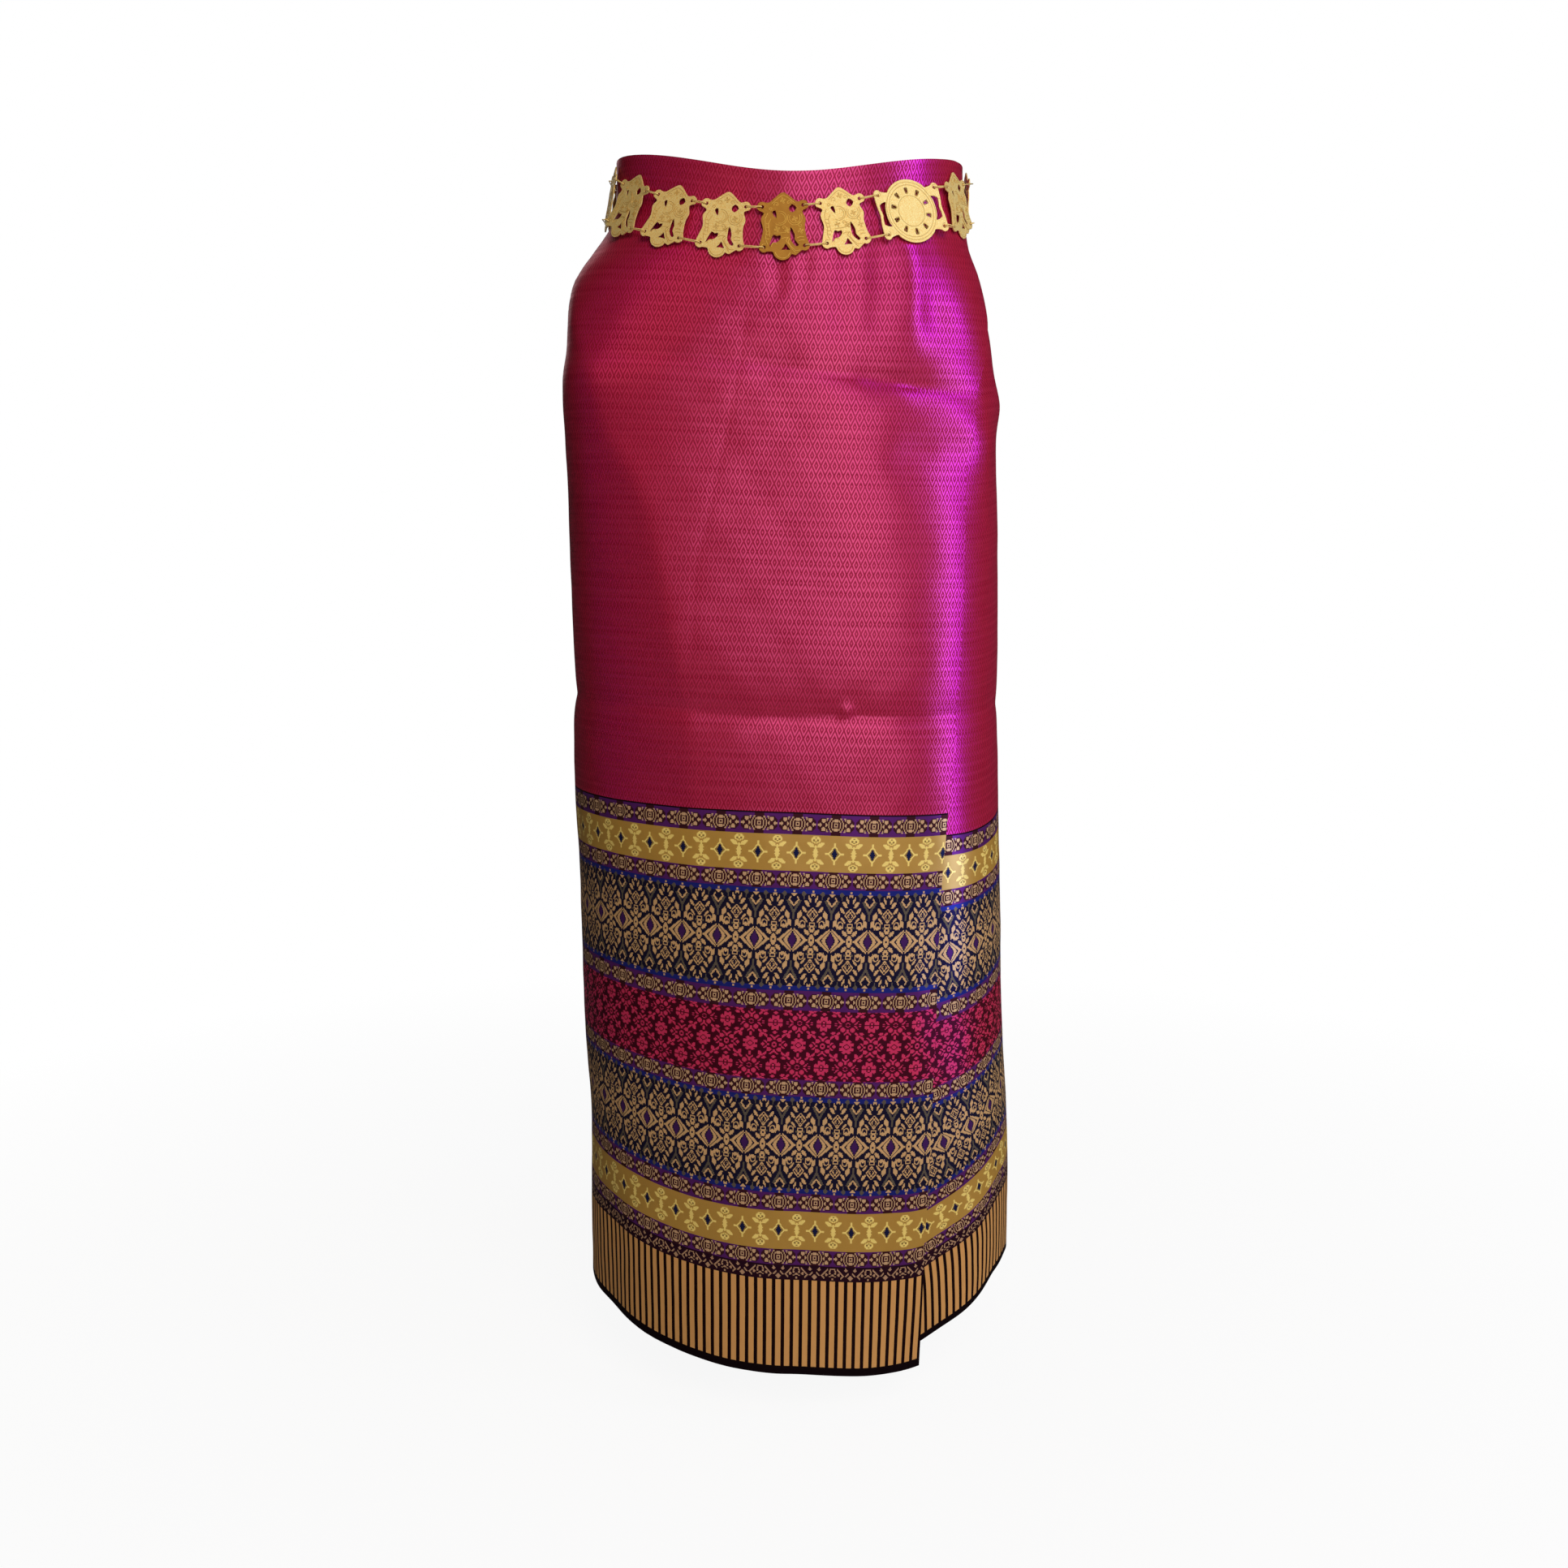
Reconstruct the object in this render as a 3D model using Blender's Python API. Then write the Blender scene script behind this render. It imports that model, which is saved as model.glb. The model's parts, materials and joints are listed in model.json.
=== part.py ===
"""A wrapped silk skirt with a patterned foot border, and the pierced metal chain belt that holds it.

Metres, +Z up. The wearer faces -Y and +X is the viewer's right. The origin is in the middle of the
waist, level with the belt. The skirt is one rectangle of cloth: its free edge hangs at the front right,
it runs round the left side, the back and the right side, and it ends under the front, near the left hip.
"""

import math
from collections import namedtuple

import bpy
from mathutils import Matrix, Vector

# Cloth
WALL = 0.0015
LAYER_GAP = 0.0012
COLUMNS = 66
UNDERLAP_END_DEG = -410.0
OVER_FROM_DEG = -60.0
OVER_UNTIL_DEG = -200.0
LEFT_DEG, RIGHT_DEG, UNDER_FRONT_DEG = -90, -270, -310
CREASE_WRAP_DEG = 70
FOLD_END_SHARE = 0.3
FRONT_LEFT_FULLNESS = 2.05
BACK_FULLNESS = 2.2

# Horizontal sections through the filled-out skirt, as half sizes from the origin's axis, and how
# square its front right corner is, from 2 for an ellipse upwards
Section = namedtuple("Section", "z left right front back corner")
SECTIONS = [
    Section(0.070, 0.1400, 0.1420, 0.0985, 0.1040, 2.05),
    Section(0.030, 0.1405, 0.1425, 0.1000, 0.1055, 2.05),
    Section(0.005, 0.1430, 0.1440, 0.1020, 0.1090, 2.05),
    Section(-0.010, 0.1515, 0.1455, 0.1040, 0.1130, 2.1),
    Section(-0.021, 0.1600, 0.1475, 0.1055, 0.1165, 2.15),
    Section(-0.042, 0.1712, 0.1565, 0.1085, 0.1230, 2.2),
    Section(-0.063, 0.1762, 0.1613, 0.1120, 0.1290, 2.3),
    Section(-0.100, 0.1838, 0.1690, 0.1180, 0.1390, 2.45),
    Section(-0.130, 0.1878, 0.1740, 0.1225, 0.1440, 2.55),
    Section(-0.180, 0.1862, 0.1748, 0.1280, 0.1480, 2.65),
    Section(-0.250, 0.1845, 0.1768, 0.1340, 0.1490, 2.7),
    Section(-0.350, 0.1828, 0.1782, 0.1400, 0.1465, 2.7),
    Section(-0.450, 0.1822, 0.1806, 0.1435, 0.1440, 2.7),
    Section(-0.550, 0.1797, 0.1842, 0.1460, 0.1435, 2.7),
    Section(-0.670, 0.1780, 0.1880, 0.1500, 0.1450, 2.7),
    Section(-0.760, 0.1734, 0.1940, 0.1535, 0.1475, 2.7),
    Section(-0.850, 0.1745, 0.1970, 0.1565, 0.1505, 2.35),
    Section(-0.950, 0.1740, 0.1975, 0.1590, 0.1530, 2.0),
]

# How each level thread of the cloth hangs: its height at the left side, then how far it drops below
# that at the front, at the free edge, at the right side and where it runs under the front, and the
# free edge's place round the body
Level = namedtuple("Level", "z front_drop edge_drop right_drop under_drop edge_deg")
LEVELS = [
    Level(0.052, 0.026, 0.004, 0.002, 0.004, 97),
    Level(0.000, 0.022, 0.006, 0.005, 0.010, 88),
    Level(-0.060, 0.010, 0.009, 0.010, 0.018, 75),
    Level(-0.120, 0.005, 0.012, 0.014, 0.026, 64),
    Level(-0.190, 0.003, 0.011, 0.015, 0.027, 57),
    Level(-0.280, 0.001, 0.010, 0.015, 0.027, 53),
    Level(-0.390, 0.000, 0.010, 0.015, 0.026, 50),
    Level(-0.470, 0.001, 0.008, 0.013, 0.024, 46),
    Level(-0.625, 0.007, 0.007, 0.005, 0.015, 42),
    Level(-0.780, 0.018, 0.006, -0.007, 0.007, 37),
    Level(-0.905, 0.023, 0.006, -0.021, -0.004, 36),
]

# Rows of the wall, as heights at the left side, closer together where the cloth is creased
ROWS = [
    0.052, 0.020, -0.004, -0.022, -0.045, -0.080, -0.120, -0.143, -0.165, -0.215, -0.290,
    -0.358, -0.379, -0.391, -0.403, -0.430, -0.520, -0.620, -0.720, -0.800, -0.860, -0.905,
]  # fmt: skip

# Soft folds: where each runs from and to, its half width and its depth, ridges above zero
Fold = namedtuple("Fold", "top_deg top_z foot_deg foot_z half_deg depth")
FOLDS = [
    Fold(-78, -0.040, -50, -0.560, 8, -0.0040),
    Fold(4, 0.010, 2, -0.090, 7, 0.0018),
    Fold(24, 0.010, 27, -0.110, 7, -0.0024),
    Fold(44, 0.010, 50, -0.190, 8, 0.0022),
    Fold(84, -0.010, 82, -0.150, 8, -0.0035),
    Fold(54, -0.780, 55, -1.000, 8, 0.0035),
    Fold(-60, -0.790, -62, -1.000, 8, -0.0030),
    Fold(128, -0.170, 134, -1.000, 12, -0.0055),
    Fold(156, -0.220, 160, -1.000, 11, 0.0040),
    Fold(-162, -0.120, -170, -1.000, 12, -0.0060),
    Fold(-128, -0.200, -122, -1.000, 12, 0.0035),
    Fold(172, 0.040, 176, -0.100, 8, -0.0025),
    Fold(-140, 0.040, -146, -0.090, 8, -0.0025),
]

# Level creases where the cloth lay folded: height at the left side, depth, half height, and reach
Crease = namedtuple("Crease", "z depth half_height middle_deg half_deg")
CREASES = [
    Crease(-0.391, -0.0020, 0.010, 0, 115),
    Crease(-0.143, -0.0009, 0.010, 0, 75),
    Crease(-0.150, 0.0042, 0.017, 92, 22),
]

# Belt
PLATE_COUNT = 16
PLATE_THICK = 0.0009
PLATE_HALF_HEIGHT = 0.026
BELT_BACK_Z = 0.020
BELT_LOW_Z = -0.0195
BELT_LOW_DEG = -10
BELT_LEFT_RISE = 0.056
BELT_RIGHT_RISE = 0.034
BUCKLE_DEG = 49.0
BUCKLE_SPAN = 0.071
PLATE_EYE = (0.0157, 0.0155)
BUCKLE_EYE = (0.0275, 0.0155)
EYE_R = 0.0013
EYE_LOBE_R = 0.0040
LINK_WIRE_R = 0.00045
LINK_SEAT_GAP = 0.0003
LINK_RUN_GAP = 0.0003
LINK_BEND = 0.0009
BELT_CLEAR = 0.0004
LINK_DEPTH = 0.0021
CHORD_DEG = 9
PROBES = 4

DISC_R = 0.0250
DISC_SLOTS = 10
DISC_SLOT = (0.0140, 0.0185, 0.0012, 0.0016)
WING_X = 0.0310
EAR_AT_DEG = 42
CAST_GOLD = (0.83, 0.60, 0.24, 1.0)
SILK = (0.45, 0.025, 0.14, 1.0)


def smooth(x):
    """0 below 0, 1 above 1, and an easy curve between."""
    x = min(1.0, max(0.0, x))
    return x * x * (3 - 2 * x)


def read_table(table, column, z):
    """A column of a table at height z, on a smooth curve through its rows."""
    last = len(table) - 1
    i = next((k for k in range(last) if z >= table[k + 1].z), last - 1)
    rows = [table[max(0, i - 1)], table[i], table[i + 1], table[min(last, i + 2)]]
    zs, ys = [r.z for r in rows], [getattr(r, column) for r in rows]
    step = zs[2] - zs[1]
    t = min(1.0, max(0.0, (z - zs[1]) / step))
    slope_in = (ys[2] - ys[0]) / (zs[2] - zs[0]) * step
    slope_out = (ys[3] - ys[1]) / (zs[3] - zs[1]) * step
    return (
        ys[1] * (2 * t**3 - 3 * t**2 + 1)
        + ys[2] * (3 * t**2 - 2 * t**3)
        + slope_in * (t**3 - 2 * t**2 + t)
        + slope_out * (t**3 - t**2)
    )


def turned(deg):
    """The same direction between -180 and 180 degrees."""
    return (deg + 180) % 360 - 180


def ring_radius(deg, z):
    """The filled-out skirt's radius in one direction, from its section's four half sizes."""
    s, c = math.sin(math.radians(deg)), math.cos(math.radians(deg))
    across = read_table(SECTIONS, "right" if s > 0 else "left", z)
    along = read_table(SECTIONS, "front" if c > 0 else "back", z)
    fullness = BACK_FULLNESS
    if c > 0:
        fullness = read_table(SECTIONS, "corner", z) if s > 0 else FRONT_LEFT_FULLNESS
    return (abs(s / across) ** fullness + abs(c / along) ** fullness) ** (-1 / fullness)


def hang(deg, z):
    """How far the level thread at height z has dropped where the cloth has wound to deg."""
    level = {name: read_table(LEVELS, name, z) for name in Level._fields[1:]}
    front = max(0.0, math.cos(math.radians(deg))) ** 2
    if deg > LEFT_DEG:
        wound = level["edge_drop"] * smooth((deg - LEFT_DEG) / (level["edge_deg"] - LEFT_DEG))
    elif deg > RIGHT_DEG:
        wound = level["right_drop"] * smooth((deg - LEFT_DEG) / (RIGHT_DEG - LEFT_DEG))
    else:
        share = smooth((deg - RIGHT_DEG) / (UNDER_FRONT_DEG - RIGHT_DEG))
        wound = level["right_drop"] + (level["under_drop"] - level["right_drop"]) * share
    return level["front_drop"] * front + wound


def fold_depth(deg, z):
    """All the folds and creases at one place on the body, the same for both layers of cloth."""
    deg, out = turned(deg), 0.0
    for f in FOLDS:
        along = (f.top_z - z) / (f.top_z - f.foot_z)
        if 0 < along < 1:
            middle = f.top_deg + (f.foot_deg - f.top_deg) * along
            ends = smooth(along / FOLD_END_SHARE) * smooth((1 - along) / FOLD_END_SHARE)
            out += f.depth * ends * math.exp(-((turned(deg - middle) / f.half_deg) ** 2))
    for c in CREASES:
        wound = deg if deg < CREASE_WRAP_DEG else deg - 360
        height = (z - (c.z - hang(wound, c.z))) / c.half_height
        reach = smooth(2 * (1 - abs(turned(deg - c.middle_deg)) / c.half_deg))
        out += c.depth * reach * math.exp(-(height**2))
    return out


def layer(deg):
    """How far the cloth stands off the inner layer: fully at the front, and not at all past the back."""
    settled = smooth((deg - OVER_FROM_DEG) / (OVER_UNTIL_DEG - OVER_FROM_DEG))
    return (WALL + LAYER_GAP) * (1 - settled)


def place(deg, radius, z):
    turn = math.radians(deg)
    return Vector((radius * math.sin(turn), -radius * math.cos(turn), z))


def outside(deg, z):
    """The radius of the outermost cloth at one place on the body."""
    deg = turned(deg)
    wound = deg if deg < read_table(LEVELS, "edge_deg", z) else deg - 360
    return ring_radius(deg, z) + fold_depth(deg, z) + layer(wound)


def mesh_object(name, points, faces, material):
    mesh = bpy.data.meshes.new(name)
    mesh.from_pydata(points, [], faces)
    mesh.materials.append(material)
    mesh.validate()
    mesh.shade_smooth()
    mesh.set_sharp_from_angle(angle=math.radians(40))
    made = bpy.data.objects.new(name, mesh)
    bpy.context.scene.collection.objects.link(made)
    return made


def plain_material(name, colour, roughness, metallic):
    made = bpy.data.materials.new(name)
    made.use_nodes = True
    shader = made.node_tree.nodes["Principled BSDF"]
    shader.inputs["Base Color"].default_value = colour
    shader.inputs["Roughness"].default_value = roughness
    shader.inputs["Metallic"].default_value = metallic
    made.diffuse_color = colour
    return made


def wrap_cloth(material):
    """The whole cloth as one wall: a grid outside, the same grid a wall's thickness inside, and rims."""
    outer, inner = [], []
    for side_z in ROWS:
        edge = read_table(LEVELS, "edge_deg", side_z)
        for column in range(COLUMNS + 1):
            deg = edge + (UNDERLAP_END_DEG - edge) * column / COLUMNS
            z = side_z - hang(deg, side_z)
            radius = ring_radius(deg, z) + fold_depth(deg, z) + layer(deg)
            outer.append(place(deg, radius, z))
            inner.append(place(deg, radius - WALL, z))
    wide, high, back = COLUMNS + 1, len(ROWS), len(outer)

    faces = []
    for r in range(high - 1):
        for c in range(COLUMNS):
            a = r * wide + c
            b, d, e = a + 1, a + wide, a + wide + 1
            faces.append((a, b, e, d))
            faces.append((back + d, back + e, back + b, back + a))
    for c in range(COLUMNS):
        foot = (high - 1) * wide + c
        faces.append((c + 1, c, back + c, back + c + 1))
        faces.append((foot, foot + 1, back + foot + 1, back + foot))
    for r in range(high - 1):
        a, d = r * wide, (r + 1) * wide
        faces.append((a, d, back + d, back + a))
        faces.append((d + COLUMNS, a + COLUMNS, back + a + COLUMNS, back + d + COLUMNS))
    return mesh_object("wrap_cloth", outer + inner, faces, material)


def arc(x, y, r, start_deg, end_deg, steps):
    """Points on an arc, both ends included."""
    turns = [start_deg + (end_deg - start_deg) * k / steps for k in range(steps + 1)]
    return [
        (x + r * math.cos(math.radians(t)), y + r * math.sin(math.radians(t))) for t in turns
    ]


def millimetres(points):
    return [(x / 1000, y / 1000) for x, y in points]


def eye_holes(ex, ey):
    """The four holes that the links pass through."""
    return [arc(x, y, EYE_R, 0, 300, 5) for x in (-ex, ex) for y in (-ey, ey)]


def plate_outline():
    """An elephant in profile over a scrolled foot, with an eye at each corner for the links."""
    ex, ey = PLATE_EYE
    return (
        arc(-ex, -ey, EYE_LOBE_R, 160, 300, 4)
        + millimetres([(-9.3, -19.2)])
        + arc(-0.0014, -0.0185, 0.0075, 205, 335, 5)
        + millimetres([(8.3, -22.6), (10.8, -21.0)])
        + arc(ex, -ey, EYE_LOBE_R, 240, 385, 4)
        + millimetres([(17.5, -9.0), (16.4, -1.0), (17.3, 5.0), (15.0, 11.0)])
        + arc(ex, ey, EYE_LOBE_R, -35, 125, 4)
        + millimetres([(10.5, 18.8), (5.0, 23.5), (0.5, 26.0), (-4.5, 23.0), (-9.8, 18.9)])
        + arc(-ex, ey, EYE_LOBE_R, 55, 215, 4)
        + millimetres([(-14.9, 10.6), (-17.2, 6.0), (-15.8, -1.5), (-17.4, -8.0)])
    )


def plate_holes():
    """The gaps at the trunk, in the foot's scroll, between the legs and under the ear, and the eyes."""
    ex, ey = PLATE_EYE
    return [
        millimetres([
            (-11.6, -15.4), (-9.9, -9.8), (-7.9, -6.2), (-5.4, -7.4),
            (-2.8, -6.8), (-2.6, -9.2), (-5.4, -12.0), (-9.0, -12.6),
        ]),
        millimetres([(1.1, -13.4), (4.2, -18.4), (-2.3, -18.1)]),
        millimetres([
            (5.5, -0.8), (8.4, -7.0), (8.3, -10.8), (11.2, -14.8),
            (9.1, -15.8), (5.6, -11.8), (5.0, -7.4),
        ]),
        millimetres([(-8.4, 11.0), (-5.2, 6.4), (-5.6, 12.2)]),
        millimetres([(7.4, 10.2), (4.6, 13.2), (7.2, 16.6), (10.6, 13.6)]),
        *eye_holes(ex, ey),
    ]  # fmt: skip


def buckle_outline():
    """A round boss between two wings, with an ear at each end of each wing for the links."""
    ex, ey = BUCKLE_EYE
    side = (
        arc(ex, -ey, EYE_LOBE_R, 215, 385, 4)
        + [(WING_X, -ey / 2), (WING_X - 0.001, 0.0), (WING_X, ey / 2)]
        + arc(ex, ey, EYE_LOBE_R, -25, 145, 4)
    )
    over = arc(0, 0, DISC_R, EAR_AT_DEG, 180 - EAR_AT_DEG, 9)
    half = side + over
    return half + [(-x, -y) for x, y in half]


def buckle_holes():
    """A ring of slots like rays, a gap between the boss and each wing, and the eyes."""
    near, far, near_half, far_half = DISC_SLOT
    corners = [(near, -near_half), (far, -far_half), (far, far_half), (near, near_half)]
    holes = []
    for k in range(DISC_SLOTS):
        turn = Matrix.Rotation(2 * math.pi * k / DISC_SLOTS - math.pi / 2, 2)
        holes.append([tuple(turn @ Vector(p)) for p in corners])
    gap = arc(0, 0, DISC_R - 0.001, 24, -24, 5)
    gap += [(WING_X - 0.0026, -0.0075), (WING_X - 0.0036, 0.0), (WING_X - 0.0026, 0.0075)]
    return holes + [gap, [(-x, -y) for x, y in gap], *eye_holes(*BUCKLE_EYE)]


def pierced_sheet(name, outline, holes, material):
    """A flat outline with holes, as a filled curve with the plate's thickness."""
    curve = bpy.data.curves.new(name, "CURVE")
    curve.dimensions = "2D"
    curve.fill_mode = "BOTH"
    curve.extrude = PLATE_THICK / 2
    for loop in [outline, *holes]:
        spline = curve.splines.new("POLY")
        spline.points.add(len(loop) - 1)
        for point, (x, y) in zip(spline.points, loop):
            point.co = (x, y, 0, 1)
        spline.use_cyclic_u = True
    curve.materials.append(material)
    return curve


def belt_level(deg):
    """The belt's height: lowest just left of the front, and level round the back."""
    swing = turned(deg - BELT_LOW_DEG)
    rise = BELT_LEFT_RISE if swing < 0 else BELT_RIGHT_RISE
    return min(BELT_BACK_Z, BELT_LOW_Z + rise * (1 - math.cos(math.radians(swing))))


def belt_path():
    """Directions and running lengths round the waist, starting at the buckle."""
    degs = [BUCKLE_DEG + half / 2 for half in range(721)]
    points = [place(d, outside(d, belt_level(d)) + BELT_CLEAR, belt_level(d)) for d in degs]
    lengths = [0.0]
    for a, b in zip(points, points[1:]):
        lengths.append(lengths[-1] + (b - a).length)
    return degs, lengths


def belt_frame(deg, half_width, half_height, eye):
    """A plate's place: flat along the belt and the cloth's slope, facing away from the waist, and
    pushed out until it and its links' back runs clear the cloth."""
    here = belt_level(deg)
    before, after = (
        place(d, outside(d, here), belt_level(d)) for d in (deg - CHORD_DEG, deg + CHORD_DEG)
    )
    above, below = (
        place(deg, outside(deg, z), z) for z in (here + half_height, here - half_height)
    )
    along = (after - before).normalized()
    out = along.cross(above - below).normalized()
    up = out.cross(along)
    middle = place(deg, outside(deg, here), here)
    steps = [k / PROBES for k in range(-PROBES, PROBES + 1)]
    probes = [(x * half_width, y * half_height, PLATE_THICK / 2) for x in steps for y in steps]
    probes += [(x, y, LINK_DEPTH) for x in (-eye[0], eye[0]) for y in (-eye[1], eye[1])]
    push = 0.0
    for x, y, depth in probes:
        p = middle + along * x + up * y - out * depth
        reach = math.hypot(p.x, p.y)
        short = outside(math.degrees(math.atan2(p.x, -p.y)), p.z) - reach
        square = Vector((p.x, p.y, 0)).normalized().dot(out)
        push = max(push, (short + BELT_CLEAR) / square)
    return Matrix.Translation(middle + out * push) @ Matrix(
        (along, up, out)
    ).transposed().to_4x4()


def link_hook(eye, out, toward):
    """A link's wire through one eye, from its back run to its front run. A run stands off further
    where the next plate turns away, to clear this plate's rim."""
    flat = (toward - out * out.dot(toward)).normalized()
    rise = EYE_LOBE_R * toward.dot(out) / toward.dot(flat)
    clear = PLATE_THICK / 2 + LINK_WIRE_R + LINK_RUN_GAP
    inset = EYE_R - LINK_WIRE_R - LINK_SEAT_GAP
    steps = [
        (inset + LINK_BEND, -clear - max(0.0, rise)),
        (inset, -clear * 0.6),
        (inset, clear * 0.6),
        (inset + LINK_BEND, clear - min(0.0, rise)),
    ]
    return [eye + flat * along + out * off for along, off in steps]


def link(name, start, end, start_out, end_out, material):
    """A closed wire loop through two eyes, with its long runs before and behind the plates."""
    toward = (end - start).normalized()
    side = toward.cross(start_out + end_out).normalized()
    loop = link_hook(start, start_out, toward) + link_hook(end, end_out, -toward)[::-1]
    points, faces, count = [], [], len(loop)
    for i, p in enumerate(loop):
        coming, going = (p - loop[i - 1]).normalized(), (loop[(i + 1) % count] - p).normalized()
        across = (coming + going).cross(side).normalized()
        for turn in (45, 135, 225, 315):
            swing = math.radians(turn)
            points.append(p + (across * math.cos(swing) + side * math.sin(swing)) * LINK_WIRE_R)
    for i in range(count):
        for k in range(4):
            a, b = i * 4 + k, i * 4 + (k + 1) % 4
            c, d = (i + 1) % count * 4 + (k + 1) % 4, (i + 1) % count * 4 + k
            faces.append((a, d, c, b))
    return mesh_object(name, points, faces, material)


def chain_belt(material):
    """The buckle and the plates round the waist, joined by an upper and a lower link at each gap."""
    degs, lengths = belt_path()
    pitch = (lengths[-1] - BUCKLE_SPAN) / PLATE_COUNT
    plate = pierced_sheet("belt_plate", plate_outline(), plate_holes(), material)
    buckle = pierced_sheet("belt_buckle", buckle_outline(), buckle_holes(), material)

    stations = [("belt_buckle", buckle, 0.0, WING_X, DISC_R, BUCKLE_EYE)]
    for k in range(PLATE_COUNT):
        at = BUCKLE_SPAN / 2 + pitch * (k + 0.5)
        half_wide = PLATE_EYE[0] + EYE_LOBE_R
        name = f"belt_plate_{k + 1:02d}"
        stations.append((name, plate, at, half_wide, PLATE_HALF_HEIGHT, PLATE_EYE))

    placed = []
    for name, shape, at, half_wide, half_high, eye in stations:
        i = next(n for n, done in enumerate(lengths) if done >= at)
        frame = belt_frame(degs[i], half_wide, half_high, eye)
        made = bpy.data.objects.new(name, shape)
        made.matrix_world = frame
        bpy.context.scene.collection.objects.link(made)
        placed.append((frame, eye))

    for k, (frame, eye) in enumerate(placed):
        next_frame, next_eye = placed[(k + 1) % len(placed)]
        for row, sign in (("upper", 1), ("lower", -1)):
            start = frame @ Vector((eye[0], sign * eye[1], 0))
            end = next_frame @ Vector((-next_eye[0], sign * next_eye[1], 0))
            outs = [m.to_3x3() @ Vector((0, 0, 1)) for m in (frame, next_frame)]
            link(f"belt_link_{k + 1:02d}_{row}", start, end, *outs, material)


def main():
    for old in list(bpy.data.objects):
        bpy.data.objects.remove(old)
    silk = plain_material("silk", SILK, 0.4, 0.0)
    gold = plain_material("gold_metal", CAST_GOLD, 0.32, 1.0)
    wrap_cloth(silk)
    chain_belt(gold)


main()
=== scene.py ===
import json
import math

import bpy
import numpy as np
from mathutils import Matrix, Vector

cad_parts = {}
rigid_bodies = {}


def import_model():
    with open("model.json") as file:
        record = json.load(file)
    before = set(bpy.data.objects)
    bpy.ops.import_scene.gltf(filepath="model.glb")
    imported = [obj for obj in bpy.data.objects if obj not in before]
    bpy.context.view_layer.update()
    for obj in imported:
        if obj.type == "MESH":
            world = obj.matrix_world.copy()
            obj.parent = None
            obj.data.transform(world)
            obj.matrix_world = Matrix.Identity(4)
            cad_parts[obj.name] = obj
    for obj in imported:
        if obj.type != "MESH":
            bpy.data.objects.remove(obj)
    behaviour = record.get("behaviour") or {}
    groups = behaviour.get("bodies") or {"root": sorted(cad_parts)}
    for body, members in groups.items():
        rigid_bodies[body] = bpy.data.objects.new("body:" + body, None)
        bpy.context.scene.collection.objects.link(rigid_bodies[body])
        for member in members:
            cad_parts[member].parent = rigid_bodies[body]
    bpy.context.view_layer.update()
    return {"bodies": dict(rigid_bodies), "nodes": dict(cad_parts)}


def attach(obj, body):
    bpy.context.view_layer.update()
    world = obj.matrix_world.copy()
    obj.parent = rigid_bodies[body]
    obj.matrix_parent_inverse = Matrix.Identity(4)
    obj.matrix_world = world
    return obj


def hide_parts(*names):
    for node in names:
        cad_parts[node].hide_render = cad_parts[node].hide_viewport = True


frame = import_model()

print("frame loaded:", len(frame["nodes"]), "nodes")


def sign(operation):  # a method that joins two wires, or a wire and a number, by a Math node
    return lambda self, other: self.math(operation, self, other)


class Wire:  # a node socket that is added, scaled and compared like a number
    family = "ShaderNode"  # how the names of its nodes begin

    def __init__(self, tree, socket=None):
        self.tree = tree
        self.socket = socket

    def add(self, kind, sockets=None, settings=None, out=0):
        made = self.tree.nodes.new(self.family + kind)
        for name, value in (settings or {}).items():
            if name == "stops":
                fillRamp(made.color_ramp, value)
            else:
                setattr(made, name, value)
        for name, value in (sockets or {}).items():
            if isinstance(value, Wire):
                self.tree.links.new(value.socket, made.inputs[name])
            else:
                made.inputs[name].default_value = value
        return Wire(self.tree, made.outputs[out])

    def of(self, name):  # another output of the same node
        return Wire(self.tree, self.socket.node.outputs[name])

    def math(self, operation, *values):
        return self.add("Math", dict(enumerate(values)), {"operation": operation})

    def mixed(self, factor, low, high):  # two colours through a Mix node
        return self.add("Mix", {"Factor": factor, 6: low, 7: high}, {"data_type": "RGBA"}, 2)

    def finish(self, shader, kind="ShaderNodeOutputMaterial"):
        self.tree.links.new(shader.socket, self.tree.nodes.new(kind).inputs[0])

    def __rsub__(self, other):
        return self.math("SUBTRACT", other, self)

    __add__ = __radd__ = sign("ADD")
    __mul__ = __rmul__ = sign("MULTIPLY")
    __sub__, __truediv__, __mod__ = sign("SUBTRACT"), sign("DIVIDE"), sign("MODULO")
    __gt__, __lt__ = sign("GREATER_THAN"), sign("LESS_THAN")


def fillRamp(ramp, stops):
    ramp.interpolation = "CONSTANT"
    while len(ramp.elements) < len(stops):
        ramp.elements.new(1.0)
    for element, (at, colour) in zip(ramp.elements, stops):
        element.position = at
        element.color = colour


def linear(hexColour, alpha=1.0):  # "#A0184A" as a colour for a socket
    parts = [int(hexColour[k:k + 2], 16) / 255 for k in (1, 3, 5)]
    return (*[p / 12.92 if p <= 0.04045 else ((p + 0.055) / 1.055) ** 2.4 for p in parts], alpha)


def newMaterial(name):
    made = bpy.data.materials.new(name)
    made.use_nodes = True
    made.node_tree.nodes.clear()
    return made, Wire(made.node_tree)


def newObject(name, data):
    made = bpy.data.objects.new(name, data)
    bpy.context.scene.collection.objects.link(made)
    return made


def eased(t, start, end, slopeIn, slopeOut):  # a cubic from start to end with a slope at each
    rise = 3 * t**2 - 2 * t**3
    return start * (1 - rise) + end * rise + slopeIn * (t**3 - 2 * t**2 + t) + slopeOut * (t**3 - t**2)


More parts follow.
